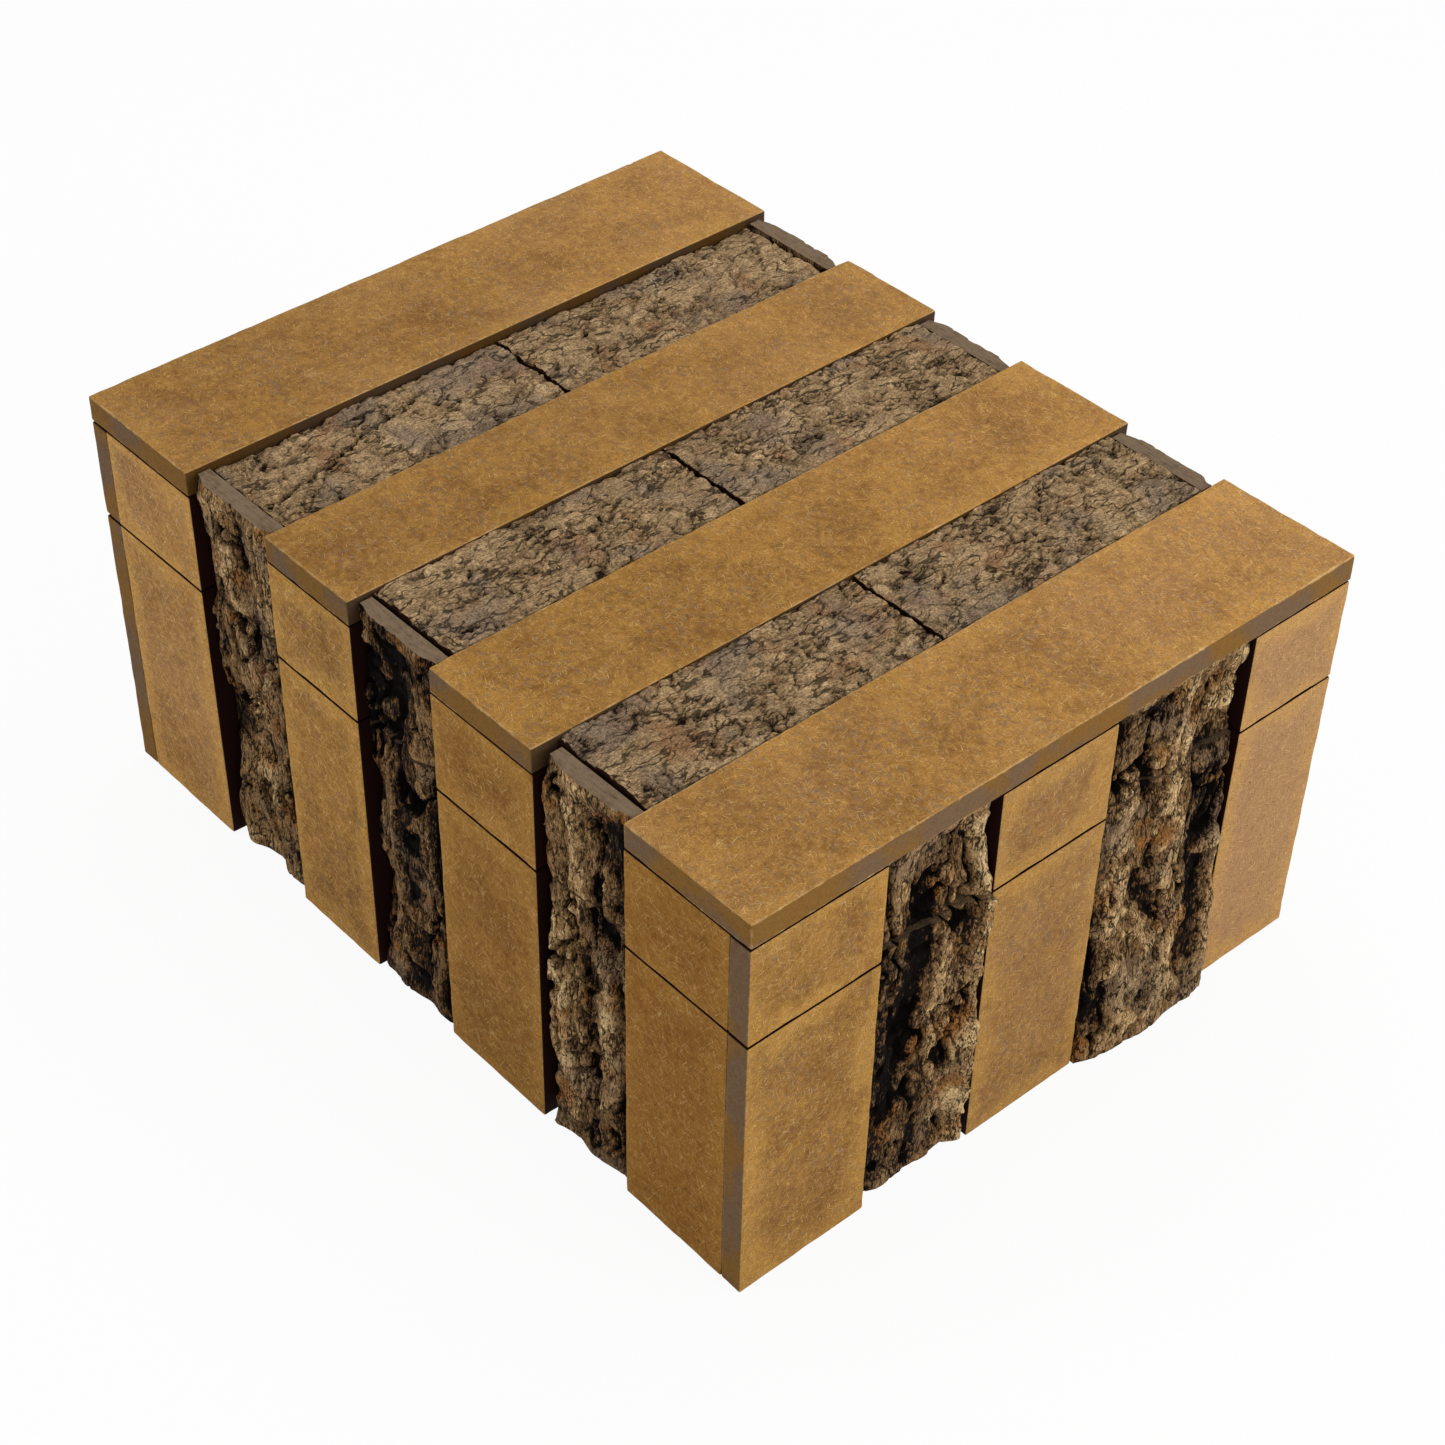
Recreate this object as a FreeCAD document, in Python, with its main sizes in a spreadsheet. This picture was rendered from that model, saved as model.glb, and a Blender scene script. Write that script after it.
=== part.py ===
import FreeCAD, Part
import math
import os

import Sketcher

# A keepsake box of stained fibreboard strips with tree bark set between them. The box was
# glued up closed, sawn round to free the lid, and hinged at the back with two brass butt hinges.
# Millimetres, +Z up, +X along the long front, origin under the middle of the box.

SIZES = {
    "box_length": 210,
    "box_depth": 160,
    "box_height": 100,
    "base_height": 69,
    "saw_kerf": 0.8,
    "board_thickness": 6,
    "panel_thickness": 5.5,
    "wall_thickness": 6,
    "bottom_thickness": 6,
    "lid_panel_thickness": 6,
    "arris_chamfer": 0.4,
    "front_strips_shift": 1.5,
    "front_gap_first": 28,
    "front_board_second": 28,
    "front_gap_second": 26,
    "front_board_third": 31,
    "front_gap_third": 26,
    "side_strips_shift": 2.5,
    "side_gap_first": 29,
    "side_panel_second": 31,
    "side_gap_second": 39,
    "bark_thickness": 5.2,
    "bark_roughness": 2.2,
    "bark_bulge": 5,
    "bark_hollow_depth": 2.8,
    "bark_least": 0.9,
    "bark_edge_clearance": 0.4,
    "bark_edge_raggedness": 1.4,
    "bark_ridge_along": 44,
    "bark_ridge_across": 13,
    "bark_end_drop": 1,
    "bark_butt_gap": 0.6,
    "top_bark_first": 4.3,
    "top_bark_second": 5.4,
    "top_bark_third": 5.3,
    "top_bark_roughness": 0.8,
    "hinge_length": 16,
    "leaf_thickness": 1,
    "leaf_gap": 0.4,
    "leaf_setback": 0.5,
    "mortise_clearance": 0.1,
    "barrel_radius": 2,
    "barrel_clearance": 0.3,
    "pin_radius": 0.9,
    "pin_clearance": 0.05,
    "knuckle_gap": 0.2,
    "screw_spacing": 9,
    "screw_radius": 1,
    "screw_head_radius": 1.9,
    "screw_length": 10,
    "screw_clearance": 0.05,
    "screw_slot_width": 0.5,
    "screw_slot_depth": 0.4,
}

# Facets of each bark strip along its length and across it.
BARK_STEPS_ALONG = 14
BARK_STEPS_ACROSS = 6

# Where flakes have come off the side strips: shares across the gap and up the box of each hollow's
# middle, its half width as a share of the gap, its half height as a share of the box's, and its
# depth as a share of the full hollow.
BARK_HOLLOWS = {
    "front": [
        [(0.50, 0.36, 0.20, 0.15, 1.0), (0.45, 0.04, 0.28, 0.09, 0.8)],
        [(0.06, 0.50, 0.24, 0.09, 1.0), (0.06, 0.25, 0.24, 0.14, 1.0), (0.46, 0.84, 0.20, 0.14, 0.9),
         (0.95, 0.70, 0.22, 0.19, 1.0)],
        [(0.50, 0.85, 0.14, 0.12, 0.9), (0.50, 0.33, 0.16, 0.18, 0.7), (0.84, 0.62, 0.24, 0.08, 0.6)],
    ],
    "back": [
        [(0.70, 0.22, 0.24, 0.16, 0.9)],
        [(0.20, 0.60, 0.24, 0.18, 0.9)],
        [(0.45, 0.40, 0.20, 0.20, 0.8)],
    ],
    "left": [
        [(0.20, 0.20, 0.22, 0.18, 1.0), (0.75, 0.62, 0.22, 0.16, 0.9)],
        [(0.80, 0.34, 0.20, 0.20, 1.0), (0.30, 0.72, 0.20, 0.18, 0.9)],
    ],
    "right": [
        [(0.88, 0.84, 0.20, 0.13, 1.0), (0.80, 0.11, 0.24, 0.14, 0.9)],
        [(0.90, 0.80, 0.20, 0.14, 1.0), (0.28, 0.52, 0.16, 0.16, 0.6)],
    ],
}

doc = FreeCAD.newDocument("bark_box")
sheet = doc.addObject("Spreadsheet::Sheet", "Sizes")
for row, (alias, size) in enumerate(SIZES.items(), start=1):
    sheet.set(f"A{row}", alias)
    sheet.set(f"B{row}", str(size))
    sheet.setAlias(f"B{row}", alias)
doc.recompute()

nodes = []


def value(expression):
    """Works out an expression on the sheet's sizes as a plain number."""
    return float(sheet.evalExpression(expression))


def strip_edges(half, shift, *widths):
    """Lists every edge along a face: the middle strips lie about its centre and the end boards reach out."""
    run = " + ".join(f"Sizes.{width}" for width in widths)
    edges = [f"(Sizes.{shift} - ({run}) / 2)"]
    for width in widths:
        edges.append(f"({edges[-1]} + Sizes.{width})")
    return [f"(-{half})", *edges, half]


# Where the faces and strips lie, as expressions on the sheet.
HALF_LENGTH = "(Sizes.box_length / 2)"
HALF_DEPTH = "(Sizes.box_depth / 2)"
WALL_X = f"({HALF_LENGTH} - Sizes.panel_thickness)"
WALL_Y = f"({HALF_DEPTH} - Sizes.panel_thickness)"
INNER_X = f"({WALL_X} - Sizes.wall_thickness)"
INNER_Y = f"({WALL_Y} - Sizes.wall_thickness)"
FLOOR = "0"
BASE_RIM = "Sizes.base_height"
LID_RIM = "(Sizes.base_height + Sizes.saw_kerf)"
BOARD_UNDERSIDE = "(Sizes.box_height - Sizes.board_thickness)"
FRONT_EDGES = strip_edges(HALF_LENGTH, "front_strips_shift", "front_gap_first", "front_board_second",
                          "front_gap_second", "front_board_third", "front_gap_third")
SIDE_EDGES = strip_edges(HALF_DEPTH, "side_strips_shift", "side_gap_first", "side_panel_second",
                         "side_gap_second")

# The hinge's own lines.
PIN_Y = f"({HALF_DEPTH} + Sizes.barrel_clearance + Sizes.barrel_radius)"
PIN_Z = "(Sizes.base_height + Sizes.saw_kerf / 2)"
LEAF_INNER_Y = f"({INNER_Y} + Sizes.leaf_setback)"
SCREW_Y = f"({WALL_Y} - Sizes.wall_thickness / 2)"
BASE_LEAF_TOP = f"({PIN_Z} - Sizes.leaf_gap / 2)"
LID_LEAF_UNDERSIDE = f"({PIN_Z} + Sizes.leaf_gap / 2)"
MORTISE_DEPTH = "(Sizes.leaf_thickness + Sizes.leaf_gap / 2 - Sizes.saw_kerf / 2)"
KNUCKLE_LENGTH = "((Sizes.hinge_length - 2 * Sizes.knuckle_gap) / 3)"
HINGE_CENTRES = {
    "left": f"(({FRONT_EDGES[1]} - {WALL_X}) / 2)",
    "right": f"(({FRONT_EDGES[6]} + {WALL_X}) / 2)",
}


def bind_place(item, prefix, corner):
    """Ties an object's position to three expressions."""
    for axis, expression in zip("xyz", corner):
        item.setExpression(f"{prefix}.Base.{axis}", expression)


def new_sketch(body, name, corner):
    """A sketch parallel to the body's ground plane, with its origin at a corner."""
    sketch = body.newObject("Sketcher::SketchObject", name)
    ground = next(item for item in body.Origin.OriginFeatures if item.Role == "XY_Plane")
    sketch.AttachmentSupport = [(ground, "")]
    sketch.MapMode = "FlatFace"
    bind_place(sketch, "AttachmentOffset", corner)
    return sketch


def draw_rectangle(sketch, length, width):
    """A rectangle from the sketch's origin, with both sides bound to the sheet."""
    size = [value(length), value(width)]
    corners = [FreeCAD.Vector(x, y, 0) for x, y in ((0, 0), (size[0], 0), size, (0, size[1]))]
    for start, end in zip(corners, corners[1:] + corners[:1]):
        sketch.addGeometry(Part.LineSegment(start, end), False)
    for side in range(4):
        sketch.addConstraint(Sketcher.Constraint("Coincident", side, 2, (side + 1) % 4, 1))
        sketch.addConstraint(Sketcher.Constraint("Vertical" if side % 2 else "Horizontal", side))
    sketch.addConstraint(Sketcher.Constraint("Coincident", 0, 1, -1, 1))
    across = sketch.addConstraint(Sketcher.Constraint("DistanceX", 0, 1, 0, 2, size[0]))
    along = sketch.addConstraint(Sketcher.Constraint("DistanceY", 1, 1, 1, 2, size[1]))
    sketch.setExpression(f"Constraints[{across}]", length)
    sketch.setExpression(f"Constraints[{along}]", width)


def draw_circle_pair(sketch, radius, spacing):
    """Two equal circles on the sketch's X axis, one at its origin."""
    for place in (0, value(spacing)):
        circle = Part.Circle(FreeCAD.Vector(place, 0, 0), FreeCAD.Vector(0, 0, 1), value(radius))
        sketch.addGeometry(circle, False)
    sketch.addConstraint(Sketcher.Constraint("Coincident", 0, 3, -1, 1))
    sketch.addConstraint(Sketcher.Constraint("PointOnObject", 1, 3, -1))
    apart = sketch.addConstraint(Sketcher.Constraint("DistanceX", 0, 3, 1, 3, value(spacing)))
    sketch.setExpression(f"Constraints[{apart}]", spacing)
    for circle in (0, 1):
        size = sketch.addConstraint(Sketcher.Constraint("Radius", circle, value(radius)))
        sketch.setExpression(f"Constraints[{size}]", radius)


def cut_pocket(body, name, sketch, depth, upwards):
    """Cuts a sketch into its body and makes sure that wood came away."""
    before = body.Shape.Volume
    pocket = body.newObject("PartDesign::Pocket", name)
    pocket.Profile = sketch
    pocket.Reversed = upwards
    pocket.setExpression("Length", depth)
    doc.recompute()
    if body.Shape.Volume >= before:
        raise RuntimeError(f"{name} cuts nothing")


def new_plank(label, low, high, outward=None):
    """A rectangular piece of board between two corners, with the arrises of its outward face eased."""
    body = doc.addObject("PartDesign::Body", label)
    outline = new_sketch(body, f"{label}_outline", low)
    draw_rectangle(outline, f"({high[0]}) - ({low[0]})", f"({high[1]}) - ({low[1]})")
    pad = body.newObject("PartDesign::Pad", f"{label}_pad")
    pad.Profile = outline
    pad.setExpression("Length", f"({high[2]}) - ({low[2]})")
    doc.recompute()
    if outward:
        chamfer = body.newObject("PartDesign::Chamfer", f"{label}_arris")
        chamfer.Base = (pad, outward_edges(pad.Shape, outward))
        chamfer.setExpression("Size", "Sizes.arris_chamfer")
        doc.recompute()
    return body


def outward_edges(shape, outward):
    """Names the edges to ease: all four round a top board, and only the upright ones of a side panel."""
    axis, sign = "XYZ".index(outward[1]), (1 if outward[0] == "+" else -1)
    face = max(shape.Faces, key=lambda item: sign * item.CenterOfMass[axis])
    upright = [edge for edge in face.Edges if edge.BoundBox.ZLength > edge.BoundBox.DiagonalLength / 2]
    eased = face.Edges if outward == "+Z" else upright
    return [f"Edge{number}" for number, edge in enumerate(shape.Edges, start=1)
            if any(edge.isSame(other) for other in eased)]


def cut_hinge_seat(body, name, centre, low_y, high_y, rim, upwards):
    """Cuts the shallow seat of one hinge leaf into a rim, between two depths of the box."""
    length = "(Sizes.hinge_length + 2 * Sizes.mortise_clearance)"
    seat = new_sketch(body, f"{body.Name}_{name}_seat", (f"{centre} - {length} / 2", low_y, rim))
    draw_rectangle(seat, length, f"{high_y} - {low_y}")
    cut_pocket(body, f"{body.Name}_{name}_mortise", seat, MORTISE_DEPTH, upwards)


def cut_pilot_holes(body, name, centre, rim, upwards):
    """Drills the two pilot holes under one hinge leaf."""
    first = (f"{centre} - Sizes.screw_spacing / 2", SCREW_Y, rim)
    holes = new_sketch(body, f"{body.Name}_{name}_drill", first)
    draw_circle_pair(holes, "Sizes.screw_radius + Sizes.screw_clearance", "Sizes.screw_spacing")
    cut_pocket(body, f"{body.Name}_{name}_pilots", holes, "Sizes.screw_length", upwards)


def add_node(item, label):
    """Names a finished sub-part and lists it for writing."""
    item.Label = label
    nodes.append(item)
    return item


def add_group(label, members):
    """Lists several like solids as one sub-part."""
    group = doc.addObject("Part::Compound", label)
    group.Links = members
    return add_node(group, label)


def new_box(name, low, high):
    """A block between two corners, bound to the sheet."""
    block = doc.addObject("Part::Box", name)
    for side, start, end in zip(("Length", "Width", "Height"), low, high):
        block.setExpression(side, f"({end}) - ({start})")
    bind_place(block, "Placement", low)
    return block


def new_rod(name, start, radius, length):
    """A round rod along X from a start point, bound to the sheet."""
    rod = doc.addObject("Part::Cylinder", name)
    rod.setExpression("Radius", radius)
    rod.setExpression("Height", length)
    rod.Placement.Rotation = FreeCAD.Rotation(FreeCAD.Vector(0, 1, 0), 90)
    bind_place(rod, "Placement", start)
    return rod


def new_cut(name, base, tool):
    """One solid less another."""
    cut = doc.addObject("Part::Cut", name)
    cut.Base = base
    cut.Tool = tool
    return cut


def new_fuse(name, members):
    """Several solids as one."""
    fuse = doc.addObject("Part::MultiFuse", name)
    fuse.Shapes = members
    return fuse


def screw_solid(name, centre, side, part, tip, spare):
    """A countersunk screw, or with spare room the hole for it, pointing away from the leaf's open face."""
    face = BASE_LEAF_TOP if part == "base" else LID_LEAF_UNDERSIDE
    place = (f"{centre} {side} Sizes.screw_spacing / 2", SCREW_Y, face)
    turn = FreeCAD.Rotation(FreeCAD.Vector(1, 0, 0), 180 if part == "base" else 0)
    head = doc.addObject("Part::Cone", f"{name}_head")
    head.setExpression("Radius1", f"Sizes.screw_head_radius + {spare}")
    head.setExpression("Radius2", f"Sizes.screw_radius + {spare}")
    head.setExpression("Height", "Sizes.leaf_thickness")
    shank = doc.addObject("Part::Cylinder", f"{name}_shank")
    shank.setExpression("Radius", f"Sizes.screw_radius + {spare}")
    shank.setExpression("Height", tip)
    for item in (head, shank):
        item.Placement.Rotation = turn
        bind_place(item, "Placement", place)
    return new_fuse(name, [head, shank])


def hinge_screw(name, centre, side, part):
    """One hinge screw with a slotted head."""
    blank = screw_solid(f"{name}_blank", centre, side, part, "Sizes.screw_length", "0")
    middle = f"({centre} {side} Sizes.screw_spacing / 2)"
    face = BASE_LEAF_TOP if part == "base" else LID_LEAF_UNDERSIDE
    low = (f"({middle} - Sizes.screw_slot_width / 2)", f"({SCREW_Y} - Sizes.screw_head_radius)",
           f"({face} - Sizes.screw_slot_depth)")
    high = (f"({middle} + Sizes.screw_slot_width / 2)", f"({SCREW_Y} + Sizes.screw_head_radius)",
            f"({face} + Sizes.screw_slot_depth)")
    slot = new_box(f"{name}_slot", low, high)
    return new_cut(name, blank, slot)


def hinge_leaf(name, centre, part):
    """One leaf: a plate in its mortise, its rolled knuckles, the pin's bore and two screw holes."""
    if part == "base":
        low_z, high_z = f"({BASE_LEAF_TOP} - Sizes.leaf_thickness)", BASE_LEAF_TOP
        knuckle_starts = [f"({centre} - Sizes.hinge_length / 2)",
                          f"({centre} + Sizes.hinge_length / 2 - {KNUCKLE_LENGTH})"]
    else:
        low_z, high_z = LID_LEAF_UNDERSIDE, f"({LID_LEAF_UNDERSIDE} + Sizes.leaf_thickness)"
        knuckle_starts = [f"({centre} - {KNUCKLE_LENGTH} / 2)"]
    members = [new_box(f"{name}_plate", (f"({centre} - Sizes.hinge_length / 2)", LEAF_INNER_Y, low_z),
                       (f"{centre} + Sizes.hinge_length / 2", HALF_DEPTH, high_z))]
    for number, start in enumerate(knuckle_starts, start=1):
        members.append(new_box(f"{name}_tongue_{number}", (start, LEAF_INNER_Y, low_z),
                               (f"{start} + {KNUCKLE_LENGTH}", PIN_Y, high_z)))
        members.append(new_rod(f"{name}_knuckle_{number}", (start, PIN_Y, PIN_Z), "Sizes.barrel_radius",
                               KNUCKLE_LENGTH))
    blank = new_fuse(f"{name}_blank", members)
    bore = new_rod(f"{name}_bore", (f"{centre} - Sizes.hinge_length", PIN_Y, PIN_Z),
                   "Sizes.pin_radius + Sizes.pin_clearance", "2 * Sizes.hinge_length")
    holes = [screw_solid(f"{name}_hole_{number}", centre, side, part, "2 * Sizes.leaf_thickness",
                         "Sizes.screw_clearance") for number, side in enumerate("-+", start=1)]
    return new_cut(name, blank, new_fuse(f"{name}_cuts", [bore] + holes))


def ridge(along, across, phase):
    """The bark's lie at a point, from 0 in a furrow to 1 on a ridge."""
    turn = 2 * math.pi
    lengthwise = math.sin(turn * along / value("Sizes.bark_ridge_along") + phase)
    crosswise = math.sin(turn * across / value("Sizes.bark_ridge_across") + 2 * phase + lengthwise)
    return 0.5 + 0.2 * lengthwise + 0.3 * crosswise


def hollow_depth(across, along, gap_edges, hollows):
    """How far the bark sinks at a point where flakes have come off."""
    low, high = gap_edges
    width, height = high - low, value("Sizes.box_height")
    depth = 0
    for middle, up, half_width, half_height, share in hollows:
        aside = (across - low - middle * width) / (half_width * width)
        above = (along - up * height) / (half_height * height)
        depth = max(depth, share * (1 - aside ** 2 - above ** 2))
    return depth * value("Sizes.bark_hollow_depth")


def bark_solid(label, place, gap, reach, thickness, roughness, phase, bulge="0", hollows=()):
    """A sawn strip of bark between two boards: flat back and ends, ragged edges and a ridged face.

    place turns (across, along, height over the carcass) into a point, gap is the two board edges and
    reach the two ends. A bulge stands proud at the first end and dies away towards the other, and
    hollows lists where flakes are missing.
    """
    low, high = (value(edge) for edge in gap)
    start, end = (value(edge) for edge in reach)
    clearance, ragged = value("Sizes.bark_edge_clearance"), value("Sizes.bark_edge_raggedness")
    wave = 2 * math.pi / value("Sizes.bark_ridge_along")
    full, rough, proud = value(thickness), value(roughness), value(bulge)
    least = value("Sizes.bark_least")
    rows = []
    for step in range(BARK_STEPS_ALONG + 1):
        along = start + (end - start) * step / BARK_STEPS_ALONG
        left = low + clearance + ragged * (0.5 + 0.5 * math.sin(2 * wave * along + phase))
        right = high - clearance - ragged * (0.5 + 0.5 * math.sin(3 * wave * along + 2 * phase))
        fade = 1 - step / BARK_STEPS_ALONG
        row = []
        for column in range(BARK_STEPS_ACROSS + 1):
            share = column / BARK_STEPS_ACROSS
            across = left + (right - left) * share
            swell = proud * fade * math.sin(math.pi * (0.15 + 0.7 * share))
            furrow = rough * (1 - ridge(along, across, phase))
            sunk = furrow + hollow_depth(across, along, (low, high), hollows)
            row.append((across, along, max(full - sunk + swell, least)))
        rows.append(row)
    shape = faceted_slab(rows, place)
    strip = doc.addObject("Part::Feature", label)
    strip.Shape = shape
    strip.Placement = FreeCAD.Placement()
    return strip


def faceted_slab(rows, place):
    """A closed solid with a flat back and a face of triangles through rows of heights."""
    face = [[FreeCAD.Vector(*place(*point)) for point in row] for row in rows]
    back = [[FreeCAD.Vector(*place(across, along, 0)) for across, along, _ in (row[0], row[-1])]
            for row in rows]
    loops = [[pair[0] for pair in back] + [pair[1] for pair in reversed(back)]]
    for row, flat in ((face[0], back[0]), (face[-1], back[-1])):
        loops.append([flat[0]] + row + [flat[1]])
    for step in range(len(face) - 1):
        for edge, column in ((0, 0), (1, -1)):
            loops.append([back[step][edge], face[step][column], face[step + 1][column], back[step + 1][edge]])
        for column in range(len(face[0]) - 1):
            near = face[step][column:column + 2]
            far = face[step + 1][column:column + 2]
            loops.append([near[0], near[1], far[1]])
            loops.append([near[0], far[1], far[0]])
    shell = Part.makeShell([Part.Face(Part.makePolygon(loop + loop[:1])) for loop in loops])
    solid = Part.makeSolid(shell)
    if solid.Volume < 0:
        solid.reverse()
    return solid


def side_faces():
    """The four outer faces: how a point on each is placed, its edges and its outward direction."""
    wall_x, wall_y = value(WALL_X), value(WALL_Y)
    return {
        "front": (lambda across, along, height: (across, -wall_y - height, along), FRONT_EDGES, "-Y"),
        "back": (lambda across, along, height: (across, wall_y + height, along), FRONT_EDGES, "+Y"),
        "left": (lambda across, along, height: (-wall_x - height, across, along), SIDE_EDGES, "-X"),
        "right": (lambda across, along, height: (wall_x + height, across, along), SIDE_EDGES, "+X"),
    }


def build_carcass():
    """The plain box inside: bottom, four walls and, over the saw cut, four rails and the lid's panel."""
    add_node(new_plank("base_bottom", (f"-{INNER_X}", f"-{INNER_Y}", FLOOR),
                       (INNER_X, INNER_Y, "Sizes.bottom_thickness")), "base_bottom")
    add_node(new_plank("lid_top_panel", (f"-{INNER_X}", f"-{INNER_Y}",
                                         f"({BOARD_UNDERSIDE} - Sizes.lid_panel_thickness)"),
                       (INNER_X, INNER_Y, BOARD_UNDERSIDE)), "lid_top_panel")
    plans = {
        "front": ((f"-{WALL_X}", f"-{WALL_Y}"), (WALL_X, f"(-{INNER_Y})")),
        "back": ((f"-{WALL_X}", INNER_Y), (WALL_X, WALL_Y)),
        "left": ((f"-{WALL_X}", f"-{INNER_Y}"), (f"(-{INNER_X})", INNER_Y)),
        "right": ((INNER_X, f"-{INNER_Y}"), (WALL_X, INNER_Y)),
    }
    for face, (low, high) in plans.items():
        wall = new_plank(f"base_{face}_wall", (*low, FLOOR), (*high, BASE_RIM))
        rail = new_plank(f"lid_{face}_rail", (*low, LID_RIM), (*high, BOARD_UNDERSIDE))
        if face == "back":
            for body, rim, upwards in ((wall, BASE_RIM, False), (rail, LID_RIM, True)):
                cut_back_rim(body, rim, upwards)
        add_node(wall, wall.Name)
        add_node(rail, rail.Name)


def cut_back_rim(body, rim, upwards):
    """Cuts both hinge seats and their pilot holes into the back wall or rail."""
    inner_edge = f"({LEAF_INNER_Y} - Sizes.mortise_clearance)"
    for side, centre in HINGE_CENTRES.items():
        cut_hinge_seat(body, side, centre, inner_edge, WALL_Y, rim, upwards)
        cut_pilot_holes(body, side, centre, rim, upwards)


def build_boards():
    """The four boards across the top, running out to the box's faces."""
    for number in range(4):
        low, high = FRONT_EDGES[2 * number], FRONT_EDGES[2 * number + 1]
        label = f"top_board_{number + 1}"
        board = new_plank(label, (low, f"-{HALF_DEPTH}", BOARD_UNDERSIDE),
                          (high, HALF_DEPTH, "Sizes.box_height"), "+Z")
        add_node(board, label)


def panel_corners(face, number, edges):
    """The plan of one outer panel: left and right panels cover the corners, front and back fit between."""
    low, high = edges[2 * number], edges[2 * number + 1]
    if face in ("front", "back"):
        low = f"(-{WALL_X})" if number == 0 else low
        high = WALL_X if 2 * number + 2 == len(edges) else high
        near, far = (f"-{HALF_DEPTH}", f"(-{WALL_Y})") if face == "front" else (WALL_Y, HALF_DEPTH)
        return (low, near), (high, far)
    near, far = (f"-{HALF_LENGTH}", f"(-{WALL_X})") if face == "left" else (WALL_X, HALF_LENGTH)
    return (near, low), (far, high)


def build_panels():
    """The outer panels: a base piece each, and the pieces sawn off with the lid grouped by face."""
    for face, (_, edges, outward) in side_faces().items():
        lid_pieces = []
        for number in range(len(edges) // 2):
            low, high = panel_corners(face, number, edges)
            label = f"base_{face}_panel_{number + 1}"
            lower = new_plank(label, (*low, FLOOR), (*high, BASE_RIM), outward)
            upper = new_plank(f"lid_{face}_panel_{number + 1}", (*low, LID_RIM),
                              (*high, BOARD_UNDERSIDE), outward)
            hinge = {0: "left", 3: "right"}.get(number) if face == "back" else None
            if hinge:
                for body, rim, upwards in ((lower, BASE_RIM, False), (upper, LID_RIM, True)):
                    cut_hinge_seat(body, hinge, HINGE_CENTRES[hinge], WALL_Y, HALF_DEPTH, rim, upwards)
            add_node(lower, label)
            lid_pieces.append(upper)
        add_group(f"lid_{face}_panels", lid_pieces)


def build_side_bark():
    """The bark between the outer panels, sawn with them; on the long faces it runs up past the top."""
    bark_top = "(Sizes.box_height - Sizes.bark_end_drop)"
    for face_number, (face, (place, edges, _)) in enumerate(side_faces().items()):
        end = bark_top if face in ("front", "back") else BOARD_UNDERSIDE
        lid_pieces = []
        for number in range(len(edges) // 2 - 1):
            gap = (edges[2 * number + 1], edges[2 * number + 2])
            phase = 1.7 * face_number + 0.9 * number
            swells = face in ("left", "right") and number == 1
            bulge = "Sizes.bark_bulge" if swells else "0"
            hollows = BARK_HOLLOWS[face][number]
            label = f"base_{face}_bark_{number + 1}"
            lower = bark_solid(label, place, gap, (FLOOR, BASE_RIM), "Sizes.bark_thickness",
                               "Sizes.bark_roughness", phase, bulge, hollows)
            add_node(lower, label)
            lid_pieces.append(bark_solid(f"lid_{face}_bark_{number + 1}", place, gap, (LID_RIM, end),
                                         "Sizes.bark_thickness", "Sizes.bark_roughness", phase,
                                         hollows=hollows))
        add_group(f"lid_{face}_bark", lid_pieces)


def build_top_bark():
    """The bark between the top boards: two pieces to a strip, butted at the middle of the lid."""
    deck = value(BOARD_UNDERSIDE)
    front_end, back_end = f"(Sizes.bark_butt_gap - {WALL_Y})", f"({WALL_Y} - Sizes.bark_butt_gap)"
    thicknesses = ("top_bark_first", "top_bark_second", "top_bark_third")
    for number, thickness in enumerate(thicknesses):
        gap = (FRONT_EDGES[2 * number + 1], FRONT_EDGES[2 * number + 2])
        halves = {
            "front": (front_end, "(-Sizes.bark_butt_gap / 2)"),
            "rear": ("(Sizes.bark_butt_gap / 2)", back_end),
        }
        for half, reach in halves.items():
            label = f"top_bark_{number + 1}_{half}"
            strip = bark_solid(label, lambda across, along, height: (across, along, deck + height), gap,
                               reach, f"Sizes.{thickness}", "Sizes.top_bark_roughness", 0.8 * number + 0.5)
            add_node(strip, label)


def build_hinges():
    """The two butt hinges let into the back of the saw cut."""
    for part in ("base", "lid"):
        add_group(f"hinge_{part}_leaves", [hinge_leaf(f"{side}_{part}_leaf", centre, part)
                                           for side, centre in HINGE_CENTRES.items()])
        add_group(f"hinge_{part}_screws", [hinge_screw(f"{side}_{part}_screw_{number}", centre, sign, part)
                                           for side, centre in HINGE_CENTRES.items()
                                           for number, sign in enumerate("-+", start=1)])
    add_group("hinge_pins", [new_rod(f"{side}_pin", (f"{centre} - Sizes.hinge_length / 2", PIN_Y, PIN_Z),
                                     "Sizes.pin_radius", "Sizes.hinge_length")
                             for side, centre in HINGE_CENTRES.items()])


def check_document():
    """Stops the build where an object failed or a sub-part's shape isn't sound."""
    for item in doc.Objects:
        if {"Invalid", "Error"} & set(item.State):
            raise RuntimeError(f"{item.Label} failed: {item.State}")
    for item in nodes:
        if item.Shape.isNull() or not item.Shape.isValid() or item.Shape.Volume <= 0:
            raise RuntimeError(f"{item.Label} has no sound shape")


build_carcass()
build_boards()
build_panels()
build_side_bark()
build_top_bark()
build_hinges()
doc.recompute()
check_document()
os.makedirs("parts", exist_ok=True)
for node in nodes:
    node.Shape.exportStep(f"parts/{node.Label}.step")
    print(f"{node.Label}: {len(node.Shape.Solids)} solids, {node.Shape.Volume / 1000:.2f} cm3")
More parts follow.
